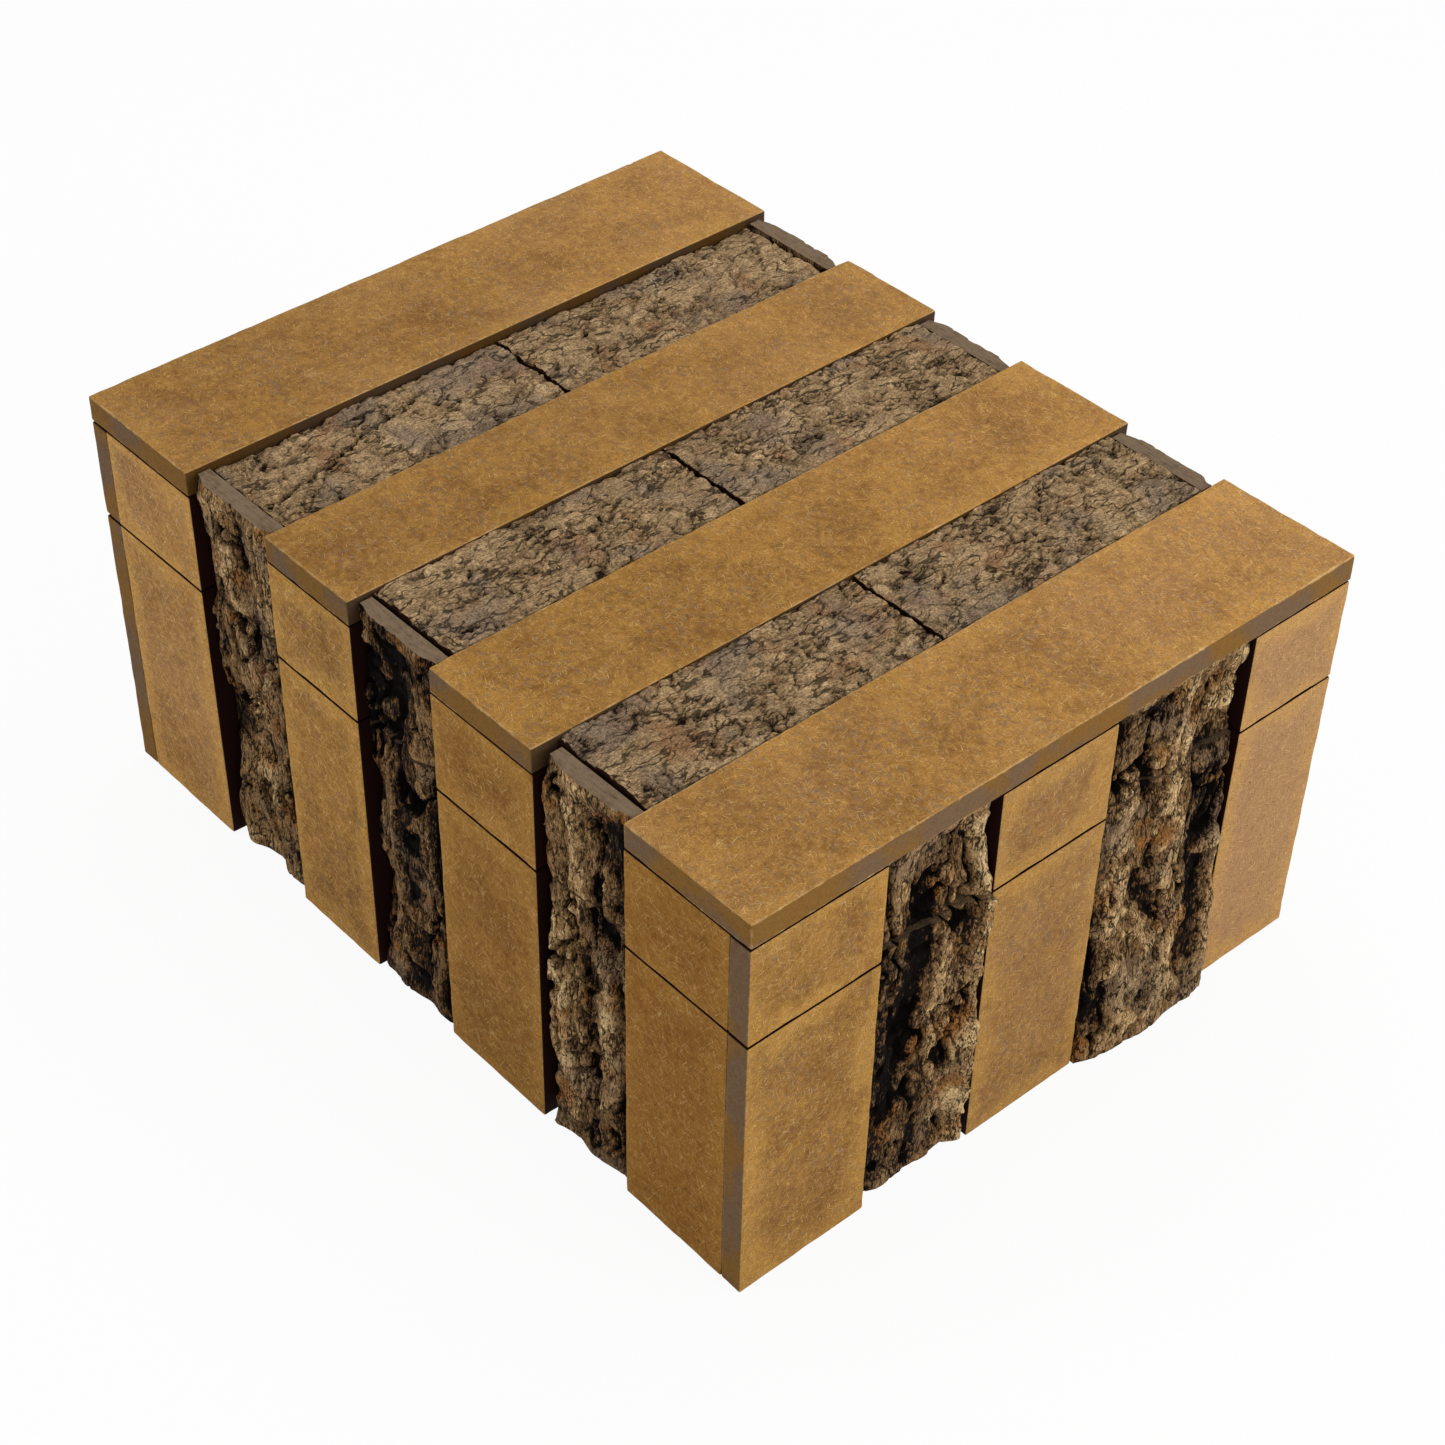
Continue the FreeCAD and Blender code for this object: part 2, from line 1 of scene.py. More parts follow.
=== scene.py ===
"""The looks of a lidded keepsake box: stained fibreboard planks with strips of tree bark let in between.

Lengths are in millimetres in the classes and in the node trees, and become metres where a mesh is placed.
"""

import logging
import math
from collections.abc import Callable
from dataclasses import asdict, dataclass, field
from enum import Enum
from typing import Any

import bpy
from mathutils import Euler, Matrix, Vector


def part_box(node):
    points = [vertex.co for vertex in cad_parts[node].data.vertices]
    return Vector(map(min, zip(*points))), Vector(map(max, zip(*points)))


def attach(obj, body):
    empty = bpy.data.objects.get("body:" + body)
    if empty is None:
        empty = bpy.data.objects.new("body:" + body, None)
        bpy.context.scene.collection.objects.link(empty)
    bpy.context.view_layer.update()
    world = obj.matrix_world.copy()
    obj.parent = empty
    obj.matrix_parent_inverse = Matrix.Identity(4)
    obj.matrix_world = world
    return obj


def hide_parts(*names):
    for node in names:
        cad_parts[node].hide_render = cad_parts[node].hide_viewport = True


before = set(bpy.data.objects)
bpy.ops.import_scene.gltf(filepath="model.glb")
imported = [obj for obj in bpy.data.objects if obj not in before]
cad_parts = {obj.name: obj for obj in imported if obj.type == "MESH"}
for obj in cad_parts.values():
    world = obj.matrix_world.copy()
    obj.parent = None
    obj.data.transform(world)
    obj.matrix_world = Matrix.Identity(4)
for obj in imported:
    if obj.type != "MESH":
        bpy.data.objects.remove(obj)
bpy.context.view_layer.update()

Colour = tuple[float, float, float]
Point = tuple[float, float, float]
Range = tuple[float, float]

MM = 0.001
PER_METRE = 1000.0
UP = Vector((0, 0, 1))
WHITE = (1.0, 1.0, 1.0, 1.0)
# Noise runs from 0 to 1 about this value.
NOISE_MIDDLE = 0.5
# A face counts as facing a way from this part of its normal on.
FACING = 0.7
LOG = logging.getLogger("bark_box")


def put(name: str, data: bpy.types.ID) -> bpy.types.Object:
    """Puts a new object in the scene.

    Args:
        name: its name.
        data: its mesh, lamp or camera.

    Returns:
        The object.
    """
    made = bpy.data.objects.new(name, data)
    bpy.context.scene.collection.objects.link(made)
    return made


def maths(operation: str, turned: bool = False) -> Callable[..., "Wire"]:
    """Makes a method of Wire that adds one Math node.

    Args:
        operation: the node's operation.
        turned: whether the wire is the second value.

    Returns:
        The method, which takes the other value where the operation has one.
    """
    def method(wire: "Wire", *other: Any) -> "Wire":
        """Adds the Math node."""
        return wire.graph.math(operation, *((*other, wire) if turned else (wire, *other)))
    return method


class Wire:
    """One output socket of a node tree: arithmetic on it adds Math nodes to that tree.

    A comparison is 1 where it holds and 0 elsewhere.
    """

    __add__ = maths("ADD")
    __radd__ = maths("ADD", turned=True)
    __sub__ = maths("SUBTRACT")
    __rsub__ = maths("SUBTRACT", turned=True)
    __mul__ = maths("MULTIPLY")
    __rmul__ = maths("MULTIPLY", turned=True)
    __truediv__ = maths("DIVIDE")
    __pow__ = maths("POWER")
    __abs__ = maths("ABSOLUTE")
    __gt__ = maths("GREATER_THAN")
    __lt__ = maths("LESS_THAN")
    sign = maths("SIGN")
    least = maths("MINIMUM")
    most = maths("MAXIMUM")

    def __init__(self, graph: "Graph", socket: bpy.types.NodeSocket | None) -> None:
        """Keeps the tree and the socket."""
        self.graph = graph
        self.socket = socket

    def ramp(self, start: float, end: float) -> "Wire":
        """Rises smoothly from 0 at start to 1 at end."""
        sockets = {"Value": self, "From Min": start, "From Max": end}
        return self.graph.add("ShaderNodeMapRange", {"interpolation_type": "SMOOTHSTEP"}, sockets)

    def xyz(self) -> tuple["Wire", "Wire", "Wire"]:
        """Splits a vector into its three values."""
        node = self.graph.add("ShaderNodeSeparateXYZ", sockets={0: self}).socket.node
        return tuple(Wire(self.graph, output) for output in node.outputs)


class Graph:
    """A node tree that is written as expressions."""

    def __init__(self, tree: bpy.types.NodeTree) -> None:
        """Keeps the tree."""
        self.tree = tree

    @staticmethod
    def socket(sockets: Any, key: int | str) -> bpy.types.NodeSocket:
        """Finds a socket.

        Args:
            sockets: a node's inputs or outputs.
            key: the socket's place, identifier or name.

        Returns:
            The socket.
        """
        if isinstance(key, str):
            for socket in sockets:
                if socket.identifier == key:
                    return socket
        return sockets[key]

    def add(self, kind: str, settings: dict[str, Any] | None = None,
            sockets: dict[int | str, Any] | None = None, output: int | str = 0) -> Wire:
        """Adds one node of any kind.

        Args:
            kind: the node's type.
            settings: its properties, set first; "stops" fills a colour ramp.
            sockets: a value or a Wire for each named input.
            output: the output to give back.

        Returns:
            The wire from that output, or an empty one where the node has none.
        """
        node = self.tree.nodes.new(kind)
        for name, value in (settings or {}).items():
            if name == "stops":
                self.fill_ramp(node.color_ramp, value)
            else:
                setattr(node, name, value)
        for key, value in (sockets or {}).items():
            target = self.socket(node.inputs, key)
            if isinstance(value, Wire):
                self.tree.links.new(value.socket, target)
            else:
                target.default_value = value
        return Wire(self, self.socket(node.outputs, output) if len(node.outputs) else None)

    @staticmethod
    def fill_ramp(ramp: bpy.types.ColorRamp, stops: list[tuple[float, Colour]]) -> None:
        """Sets a colour ramp's stops.

        Args:
            ramp: the ramp, which has two stops when new.
            stops: each stop's place and colour.
        """
        while len(ramp.elements) < len(stops):
            ramp.elements.new(1.0)
        for element, (place, colour) in zip(ramp.elements, stops):
            element.position = place
            element.color = (*colour, 1.0)

    def math(self, operation: str, *values: Any) -> Wire:
        """Adds a Math node."""
        return self.add("ShaderNodeMath", {"operation": operation}, dict(enumerate(values)))

    def vmath(self, operation: str, *values: Any, output: int = 0) -> Wire:
        """Adds a Vector Math node."""
        return self.add("ShaderNodeVectorMath", {"operation": operation}, dict(enumerate(values)), output)

    def dot(self, one: Wire, other: Wire) -> Wire:
        """Gives the dot product of two vectors."""
        return self.vmath("DOT_PRODUCT", one, other, output=1)

    def scaled(self, vector: Any, factor: Any) -> Wire:
        """Multiplies a vector or a colour by one value."""
        return self.add("ShaderNodeVectorMath", {"operation": "SCALE"}, {0: vector, "Scale": factor})

    def vector(self, x: Any, y: Any, z: Any) -> Wire:
        """Joins three values into a vector."""
        return self.add("ShaderNodeCombineXYZ", sockets={0: x, 1: y, 2: z})

    def blend(self, low: Any, high: Any, factor: Any) -> Wire:
        """Mixes two colours.

        Args:
            low: the colour where the factor is 0, as a Wire or as three values.
            high: the colour where it is 1.
            factor: how much of the second there is.

        Returns:
            The mixed colour.
        """
        low, high = (value if isinstance(value, Wire) else (*value, 1.0) for value in (low, high))
        sockets = {"Factor_Float": factor, "A_Color": low, "B_Color": high}
        return self.add("ShaderNodeMix", {"data_type": "RGBA"}, sockets, "Result_Color")

    def noise(self, place: Wire, size: float | Point | Wire, detail: float = 2.0, rough: float = 0.5,
              output: int = 0) -> Wire:
        """Adds noise.

        Args:
            place: where it is read.
            size: the length of one blob, or its three lengths.
            detail: how many finer layers it has.
            rough: how strong those are.
            output: 0 for a value and 1 for a colour.

        Returns:
            The noise, from 0 to 1.
        """
        if not isinstance(size, float):
            place = self.vmath("DIVIDE", place, size)
            size = 1.0
        sockets = {"Vector": place, "Scale": 1.0 / size, "Detail": detail, "Roughness": rough}
        return self.add("ShaderNodeTexNoise", sockets=sockets, output=output)

    def swing(self, place: Wire, size: float | Point | Wire, *layers: float) -> Wire:
        """Adds noise about nought, from minus a half to a half."""
        return self.noise(place, size, *layers) - NOISE_MIDDLE

    def cell_walls(self, place: Wire) -> Wire:
        """Gives the way to the nearest wall between cells one unit wide, read in two directions."""
        settings = {"voronoi_dimensions": "2D", "feature": "DISTANCE_TO_EDGE"}
        return self.add("ShaderNodeTexVoronoi", settings, {"Vector": place, "Scale": 1.0})


class ShapeTree(Graph):
    """A Geometry Nodes tree with named inputs."""

    def __init__(self, name: str, inputs: dict[str, str]) -> None:
        """Makes the tree.

        Args:
            name: the tree's name.
            inputs: for each kind of socket, the inputs' names with commas between.
        """
        super().__init__(bpy.data.node_groups.new(name, "GeometryNodeTree"))
        self.keys = {}
        outside = self.tree.interface
        for kind, labels in inputs.items():
            for label in labels.split(", "):
                made = outside.new_socket(label, in_out="INPUT", socket_type="NodeSocket" + kind)
                self.keys[label] = made.identifier
        outside.new_socket("Geometry", in_out="OUTPUT", socket_type="NodeSocketGeometry")
        self.source = self.tree.nodes.new("NodeGroupInput")

    def __getitem__(self, label: str) -> Wire:
        """Gives the wire of a named input."""
        return Wire(self, self.source.outputs[label])

    def cube(self, **counts: Any) -> Wire:
        """Adds a cube from minus one to one, with a number of vertices for X, Y and Z."""
        sockets = {f"Vertices {axis}": count for axis, count in counts.items()}
        return self.add("GeometryNodeMeshCube", sockets={"Size": (2.0, 2.0, 2.0), **sockets})

    def store(self, shape: Wire, label: str, value: Wire, kind: str = "FLOAT",
              domain: str = "POINT") -> Wire:
        """Stores a named attribute on a shape."""
        sockets = {0: shape, "Name": label, "Value": value}
        return self.add("GeometryNodeStoreNamedAttribute", {"data_type": kind, "domain": domain}, sockets)

    def close(self, shape: Wire) -> None:
        """Ends the tree in plain, dressed geometry.

        Args:
            shape: the finished shape.
        """
        shape = self.add("GeometryNodeRealizeInstances", sockets={0: shape})
        shape = self.add("GeometryNodeSetMaterial", sockets={0: shape, "Material": self["Material"]})
        self.add("NodeGroupOutput", sockets={0: shape})

    def grow(self, name: str, values: dict[str, Any], place: Matrix) -> bpy.types.Object:
        """Runs the tree once and keeps the result as a plain mesh.

        Args:
            name: the new piece's name.
            values: a value for each named input.
            place: from the tree's millimetres to where the piece goes, in metres.

        Returns:
            The new object, with no modifier.
        """
        blank = put(name + "_blank", bpy.data.meshes.new(name + "_blank"))
        modifier = blank.modifiers.new("shape", "NODES")
        modifier.node_group = self.tree
        for label, value in values.items():
            modifier[self.keys[label]] = list(value) if isinstance(value, (tuple, Vector)) else value
        graph = bpy.context.evaluated_depsgraph_get()
        mesh = bpy.data.meshes.new_from_object(blank.evaluated_get(graph))
        bpy.data.objects.remove(blank)
        mesh.transform(place)
        mesh.name = name
        return put(name, mesh)


class FinishGraph(Graph):
    """A material's node tree."""

    def __init__(self, name: str) -> None:
        """Makes an empty material."""
        self.material = bpy.data.materials.new(name)
        self.material.use_nodes = True
        super().__init__(self.material.node_tree)
        self.tree.nodes.clear()

    def place(self) -> Wire:
        """Gives the surface's place in millimetres."""
        return self.scaled(self.add("ShaderNodeTexCoord", output="Object"), PER_METRE)

    def attribute(self, name: str, output: str = "Fac") -> Wire:
        """Reads a stored attribute."""
        return self.add("ShaderNodeAttribute", {"attribute_name": name}, output=output)

    def bump(self, height: Wire, strength: float, depth: float) -> Wire:
        """Turns a height from 0 to 1 into a normal; depth is in millimetres."""
        sockets = {"Height": height, "Strength": strength, "Distance": depth * MM}
        return self.add("ShaderNodeBump", sockets=sockets)

    def close(self, **sockets: Any) -> bpy.types.Material:
        """Ends in a Principled shader.

        Args:
            **sockets: its inputs, with _ for a space in a name.

        Returns:
            The material.
        """
        named = {name.replace("_", " "): value for name, value in sockets.items()}
        shader = self.add("ShaderNodeBsdfPrincipled", sockets=named)
        self.add("ShaderNodeOutputMaterial", sockets={"Surface": shader})
        return self.material


@dataclass(frozen=True)
class FibreboardFinish:
    """Stained fibreboard: short fibres lying every way, clouded stain, worn arrises and dark edges, with
    painted shade on the faces in the gaps, a painted grey sheen on the sawn edges and painted light towards
    the rear of the top.
    """

    name: str = "stained_fibreboard"
    body: Colour = (0.395, 0.200, 0.044)
    deep: Colour = (0.180, 0.078, 0.016)
    cool: Colour = (0.205, 0.120, 0.066)
    pink: Colour = (0.43, 0.245, 0.122)
    border: Colour = (0.52, 0.28, 0.060)
    rich: Colour = (0.30, 0.115, 0.010)
    fibre_pale: Colour = (0.66, 0.44, 0.17)
    fibre_dark: Colour = (0.095, 0.036, 0.010)
    worn: Colour = (0.56, 0.36, 0.15)
    edge: Colour = (0.200, 0.100, 0.022)
    # Partly the sawn edges' own grey-brown, partly a painted reflection of a grey sheen.
    edge_grey: Colour = (0.155, 0.094, 0.050)
    # Painted shade: faces looking into the gaps are near black, partly their dark stain and partly the
    # shade in the gap.
    gap: Colour = (0.012, 0.003, 0.002)
    cloud_size: float = 17.0
    patch_size: float = 4.5
    mottle_size: float = 1.5
    speck_size: float = 0.42
    cool_size: float = 1.2
    cool_spread: float = 13.0
    pink_spread: float = 24.0
    blot_size: float = 15.0
    border_width: float = 7.0
    border_wander: float = 20.0
    border_patch: float = 16.0
    border_strength: float = 0.46
    core_strength: float = 0.14
    arris_width: float = 0.5
    arris_wander: float = 1.5
    wear_patch: float = 8.0
    wear_strength: float = 0.9
    # Painted light: how much lighter the top gets towards the rear, as if lit from behind.
    fading: float = 0.2
    fading_run: Range = (-40.0, 90.0)
    layer_step: float = 0.37
    fibre_length: float = 2.8
    fibre_width: float = 0.22
    fibre_turns: tuple[float, ...] = (12.0, 58.0, 104.0, 151.0)
    fibre_shift: float = 7.3
    fibre_most: float = 1.2
    pale_strength: float = 0.62
    dark_strength: float = 0.6
    hair_strength: float = 0.18
    hair_sizes: tuple[float, ...] = (3.6, 5.2)
    hair_shift: float = 130.0
    hair_spread: float = 4.2

    def make(self) -> bpy.types.Material:
        """Builds the material.

        Returns:
            The material.
        """
        g = FinishGraph(self.name)
        place = g.place()
        x, y, z = place.xyz()
        nx, _, nz = g.add("ShaderNodeNewGeometry", output="True Normal").xyz()
        to_side, to_top = abs(nx) > FACING, abs(nz) > FACING
        u = x + (y - x) * to_side
        v = z + (y - z) * to_top
        pale, dark = self.fibres(g, u, v, (x + y + z - u - v) * self.layer_step)
        cloud = g.noise(place, self.cloud_size, 3.0, 0.6)
        speck = g.noise(place, self.speck_size, 2.0, 0.7)
        paleness, from_edge = g.attribute("paleness"), g.attribute("arris")
        # Painted light: rises towards the rear of the top faces.
        rear_lit = y.ramp(*self.fading_run) * to_top
        stain = self.stain(g, place, cloud, paleness, rear_lit)
        uneven = g.swing(place, self.border_patch, 3.0, 0.6) * self.border_wander
        border = (from_edge + uneven).ramp(self.border_width, 0.0) * (1.0 - to_top * 0.7)
        stain = g.blend(stain, self.deep, (1.0 - border) * self.core_strength)
        stain = g.blend(stain, self.border, border * self.border_strength)
        stain = g.blend(stain, self.rich, (paleness * -1.0).most(0.0))
        stain = g.blend(stain, self.fibre_dark, dark * self.dark_strength)
        hairs = self.hairs(g, place) * self.hair_strength
        stain = g.blend(stain, self.fibre_pale, (pale * self.pale_strength + hairs).least(0.9))
        arris = from_edge + g.swing(place, 1.6, 3.0) * self.arris_wander
        patchy = g.noise(place, self.wear_patch).ramp(0.36, 0.62)
        rub = arris.ramp(self.arris_width, -0.1) * patchy * g.attribute("rub")
        colour = g.blend(stain, self.edges(g, place), g.attribute("edge_face"))
        # Gap faces get their dark stain and painted shade.
        colour = g.blend(colour, self.gap, g.attribute("gap_face"))
        colour = g.blend(colour, self.worn, rub * self.wear_strength)
        # The last factor paints light on the rear of the top.
        shade = g.attribute("shade") * (0.55 + speck * 0.96) * (1.0 + rear_lit * self.fading)
        roughness = 0.66 + cloud * 0.10 - pale * 0.06 + rub * 0.12
        grain = pale * 0.5 - dark * 0.6 + speck * 0.35
        return g.close(Base_Color=g.scaled(colour, shade), Roughness=roughness, Specular_IOR_Level=0.06,
                       Normal=g.bump(grain, 0.35, 0.12))

    def stain(self, g: FinishGraph, place: Wire, cloud: Wire, paleness: Wire, rear_lit: Wire) -> Wire:
        """Lays the clouded stain, with grey-brown specks and a pink bloom, which grows towards the rear of
        the top as painted light.

        Args:
            g: the material's tree.
            place: the surface's place, in millimetres.
            cloud: the broad clouds.
            paleness: how pale the plank is.
            rear_lit: how much painted light the top gets towards the rear, from 0 to 1.

        Returns:
            The colour.
        """
        patch = g.noise(place, self.patch_size, 3.0, 0.6)
        mottle = g.noise(place, self.mottle_size, 3.0, 0.65)
        taken = cloud * 0.85 + patch * 0.45 + mottle * 0.85 - 0.575
        stain = g.blend(self.deep, self.body, taken.ramp(0.18, 0.76))
        specks = g.noise(place, self.cool_size, 3.0, 0.65).ramp(0.48, 0.66) * (0.55 + paleness.least(0.4))
        spread = 0.35 + g.noise(place, self.cool_spread).ramp(0.38, 0.62) * 0.9
        stain = g.blend(stain, self.cool, specks * spread)
        pinkness = paleness + g.swing(place, self.pink_spread) * 0.5
        return g.blend(stain, self.pink, pinkness.ramp(-0.02, 1.0) * 0.8 + rear_lit * 0.12)

    def edges(self, g: FinishGraph, place: Wire) -> Wire:
        """Gives the colour of the sawn edges, which is part gold and part grey, the grey partly their own
        and partly a painted reflection of a grey sheen.
        """
        edge = g.blend(self.edge, self.edge_grey, g.noise(place, self.blot_size).ramp(0.42, 0.58))
        return g.blend(edge, self.fibre_dark, (g.noise(place, 1.3, 3.0) - 0.2).ramp(0.2, 0.6) * 0.25)

    def hairs(self, g: FinishGraph, place: Wire) -> Wire:
        """Draws a few long curled hairs.

        Args:
            g: the material's tree.
            place: the surface's place, in millimetres.

        Returns:
            How much of a hair shows, from 0 to 1.
        """
        shown = 0.0
        for order, size in enumerate(self.hair_sizes):
            spot = g.vmath("ADD", place, (order * self.hair_shift,) * 3)
            line = abs(g.swing(spot, size, 1.0)).ramp(0.020, 0.005)
            shown = line * g.noise(spot, self.hair_spread, 1.0).ramp(0.58, 0.66) + shown
        return shown

    def fibres(self, g: FinishGraph, u: Wire, v: Wire, depth: Wire) -> tuple[Wire, Wire]:
        """Lays short fibres in several directions.

        Args:
            g: the material's tree.
            u: place along the face, in millimetres.
            v: place up the face.
            depth: place across the faces, so that no two faces match.

        Returns:
            How much of a pale and of a dark fibre shows, each from 0 to about 1.
        """
        pale, dark = 0.0, 0.0
        for order, turn in enumerate(self.fibre_turns):
            c, s = math.cos(math.radians(turn)), math.sin(math.radians(turn))
            along = (u * c + v * s) / self.fibre_length + order * self.fibre_shift
            across = (v * c - u * s) / self.fibre_width
            strand = g.noise(g.vector(along, across, depth), 1.0, 2.0, 0.55)
            pale = strand.ramp(0.62, 0.73) + pale
            dark = strand.ramp(0.38, 0.27) + dark
        return pale.least(self.fibre_most), dark.least(self.fibre_most)


@dataclass(frozen=True)
class BarkFinish:
    """Tree bark: near-black crevices, brown plates with orange and grey patches, pale crests, sawn ends.

    The colour follows the relief, which runs from low to high: dark low down and pale high up, partly the
    bark's own colour and partly painted shade in the crevices and painted highlight on the crests.
    """

    name: str
    crevice: Colour
    body: Colour
    crest: Colour
    fleck: Colour
    patch: Colour
    grey: Colour
    low: float
    high: float
    sawn: Colour = (0.220, 0.154, 0.096)
    sawn_dark: Colour = (0.105, 0.064, 0.040)
    stops: tuple[float, ...] = (0.27, 0.43, 0.80, 1.0)
    bend: float = 1.6
    bend_size: float = 3.0
    grain: float = 0.95
    streak_size: Point = (0.42, 2.8, 0.42)
    lumps: float = 0.65
    lump_size: float = 1.7
    raised: Range = (0.26, 0.5)
    patch_size: float = 8.5
    patch_strength: float = 0.55
    grey_size: float = 15.0
    grey_strength: float = 0.5
    pitting: float = 0.85
    pit_size: Point = (0.5, 1.8, 0.5)
    pit_patch: float = 5.0
    vein_patch: float = 6.5
    veining: float = 0.9
    vein_size: Point = (1.7, 5.5, 1.7)
    vein_reach: float = 0.05
    speck_size: Point = (0.36, 0.576, 0.36)
    ring_size: Point = (4.0, 4.0, 0.5)

    def make(self) -> bpy.types.Material:
        """Builds the material.

        Returns:
            The material.
        """
        g = FinishGraph(self.name)
        place = g.attribute("grain", "Vector")
        bent = g.vmath("ADD", place, g.scaled(g.noise(place, self.bend_size, output=1), self.bend))
        streak = g.noise(bent, self.streak_size, 3.0, 0.6)
        lump = g.noise(place, self.lump_size, 3.0, 0.6)
        level = (g.attribute("relief") - self.low) / (self.high - self.low)
        tone = level + (streak - NOISE_MIDDLE) * self.grain + (lump - NOISE_MIDDLE) * self.lumps
        # Painted shade and highlight: the ramp darkens the low relief and pales the high, over the bark's
        # own dark furrows and pale ridges.
        stops = list(zip(self.stops, (self.crevice, self.body, self.crest, self.fleck)))
        colour = g.add("ShaderNodeValToRGB", {"stops": stops}, {0: tone})
        raised = tone.ramp(*self.raised)
        orange = g.noise(place, self.patch_size).ramp(0.54, 0.68)
        colour = g.blend(colour, self.patch, orange * raised * self.patch_strength)
        grey = g.noise(place, self.grey_size).ramp(0.50, 0.66)
        colour = g.blend(colour, self.grey, grey * raised * self.grey_strength)
        pits = g.noise(place, self.pit_size, 2.0, 0.6).ramp(0.47, 0.37)
        pits = pits * g.noise(place, self.pit_patch, 1.0).ramp(0.34, 0.54)
        veins = abs(g.swing(bent, self.vein_size)).ramp(self.vein_reach, 0.010)
        veins = veins * g.noise(place, self.vein_patch, 1.0).ramp(0.30, 0.50)
        # Pits and veins take the crevice colour, which is partly painted shade.
        colour = g.blend(colour, self.crevice, (pits * self.pitting).most(veins * self.veining))
        colour = g.scaled(colour, 0.5 + g.noise(bent, self.speck_size, 2.0, 0.7).ramp(0.3, 0.7))
        rings = g.noise(place, self.ring_size, 3.0, 0.6)
        sawn = g.blend(self.sawn_dark, self.sawn, (rings * 0.7 + lump * 0.5 - 0.1).ramp(0.2, 0.6))
        colour = g.blend(colour, sawn, g.attribute("sawn"))
        grit = streak * 0.8 + lump * 0.4 - pits * 0.5 - veins * 0.6
        return g.close(Base_Color=colour, Roughness=0.58 + lump * 0.35, Specular_IOR_Level=0.04,
                       Normal=g.bump(grit, 0.6, 0.35))


@dataclass(frozen=True)
class CarcassFinish:
    """Dark red-brown stain, brushed on the hidden frame and thin in places."""

    name: str = "dark_stain"
    body: Colour = (0.075, 0.026, 0.013)
    deep: Colour = (0.028, 0.009, 0.006)
    thin: Colour = (0.17, 0.075, 0.032)
    brush_size: Point = (16.0, 16.0, 0.8)
    cloud_size: float = 21.0
    speck_size: float = 0.7

    def make(self) -> bpy.types.Material:
        """Builds the material.

        Returns:
            The material.
        """
        g = FinishGraph(self.name)
        place = g.place()
        brush = g.noise(place, self.brush_size, 3.0, 0.6)
        cloud = g.noise(place, self.cloud_size, 3.0, 0.55)
        speck = g.noise(place, self.speck_size, 3.0, 0.6)
        colour = g.blend(self.deep, self.body, (brush * 0.6 + cloud * 0.6).ramp(0.35, 0.75))
        colour = g.blend(colour, self.thin, (cloud * 0.7 + speck * 0.5).ramp(0.66, 0.86) * 0.7)
        return g.close(Base_Color=colour, Roughness=0.5 + brush * 0.25, Specular_IOR_Level=0.35,
                       Normal=g.bump(brush * 0.6 + speck * 0.4, 0.3, 0.15))


@dataclass(frozen=True)
class BrassFinish:
    """Dull yellow brass with brown tarnish and fine rolling lines."""

    name: str = "dull_brass"
    bright: Colour = (0.62, 0.44, 0.17)
    tarnish: Colour = (0.20, 0.115, 0.045)
    cloud_size: float = 3.4
    line_size: Point = (6.0, 0.25, 0.25)

    def make(self) -> bpy.types.Material:
        """Builds the material.

        Returns:
            The material.
        """
        g = FinishGraph(self.name)
        place = g.place()
        cloud = g.noise(place, self.cloud_size, 4.0, 0.6)
        lines = g.noise(place, self.line_size)
        stain = (cloud * 0.8 + lines * 0.3).ramp(0.45, 0.72)
        colour = g.blend(self.bright, self.tarnish, stain)
        roughness = 0.28 + stain * 0.35 + lines * 0.08
        return g.close(Base_Color=colour, Metallic=1.0 - stain * 0.35, Roughness=roughness,
                       Normal=g.bump(lines, 0.15, 0.05))


class Side(Enum):
    """A face of the box, with the way across it, the way along its strips and the way out."""

    FRONT = ((1, 0, 0), (0, 0, 1), (0, -1, 0))
    BACK = ((-1, 0, 0), (0, 0, 1), (0, 1, 0))
    LEFT = ((0, -1, 0), (0, 0, 1), (-1, 0, 0))
    RIGHT = ((0, 1, 0), (0, 0, 1), (1, 0, 0))
    TOP = ((1, 0, 0), (0, 1, 0), (0, 0, 1))

    def __init__(self, across: Point, along: Point, out: Point) -> None:
        """Keeps the three ways, and the face's name as its pieces' names have it."""
        self.across, self.along, self.out = Vector(across), Vector(along), Vector(out)
        self.label = self.name.lower()

    def matrix(self, level: float) -> Matrix:
        """Gives the way from strip coordinates to the box.

        Args:
            level: the back of the strip along the way out, in millimetres.

        Returns:
            The matrix, which also turns millimetres into metres.
        """
        turn = Matrix((self.across, self.along, self.out)).transposed().to_4x4()
        return Matrix.Scale(MM, 4) @ Matrix.Translation(self.out * level) @ turn


UPRIGHT_SIDES = (Side.FRONT, Side.BACK, Side.LEFT, Side.RIGHT)


def span(node: str, way: Vector) -> Range:
    """Gives a solid's reach along a direction.

    Args:
        node: the solid's name.
        way: the direction.

    Returns:
        The lowest and highest place, in millimetres.
    """
    ends = sorted(corner.dot(way) * PER_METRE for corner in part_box(node))
    return ends[0], ends[1]


def settle(piece: bpy.types.Object, body: str, node: str) -> None:
    """Rides a piece on a body in place of its solid.

    Args:
        piece: the finished piece.
        body: the body that it moves with.
        node: the solid that it stands for.
    """
    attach(piece, body)
    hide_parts(node)
    LOG.info("%s: %d faces, stands for %s", piece.name, len(piece.data.polygons), node)


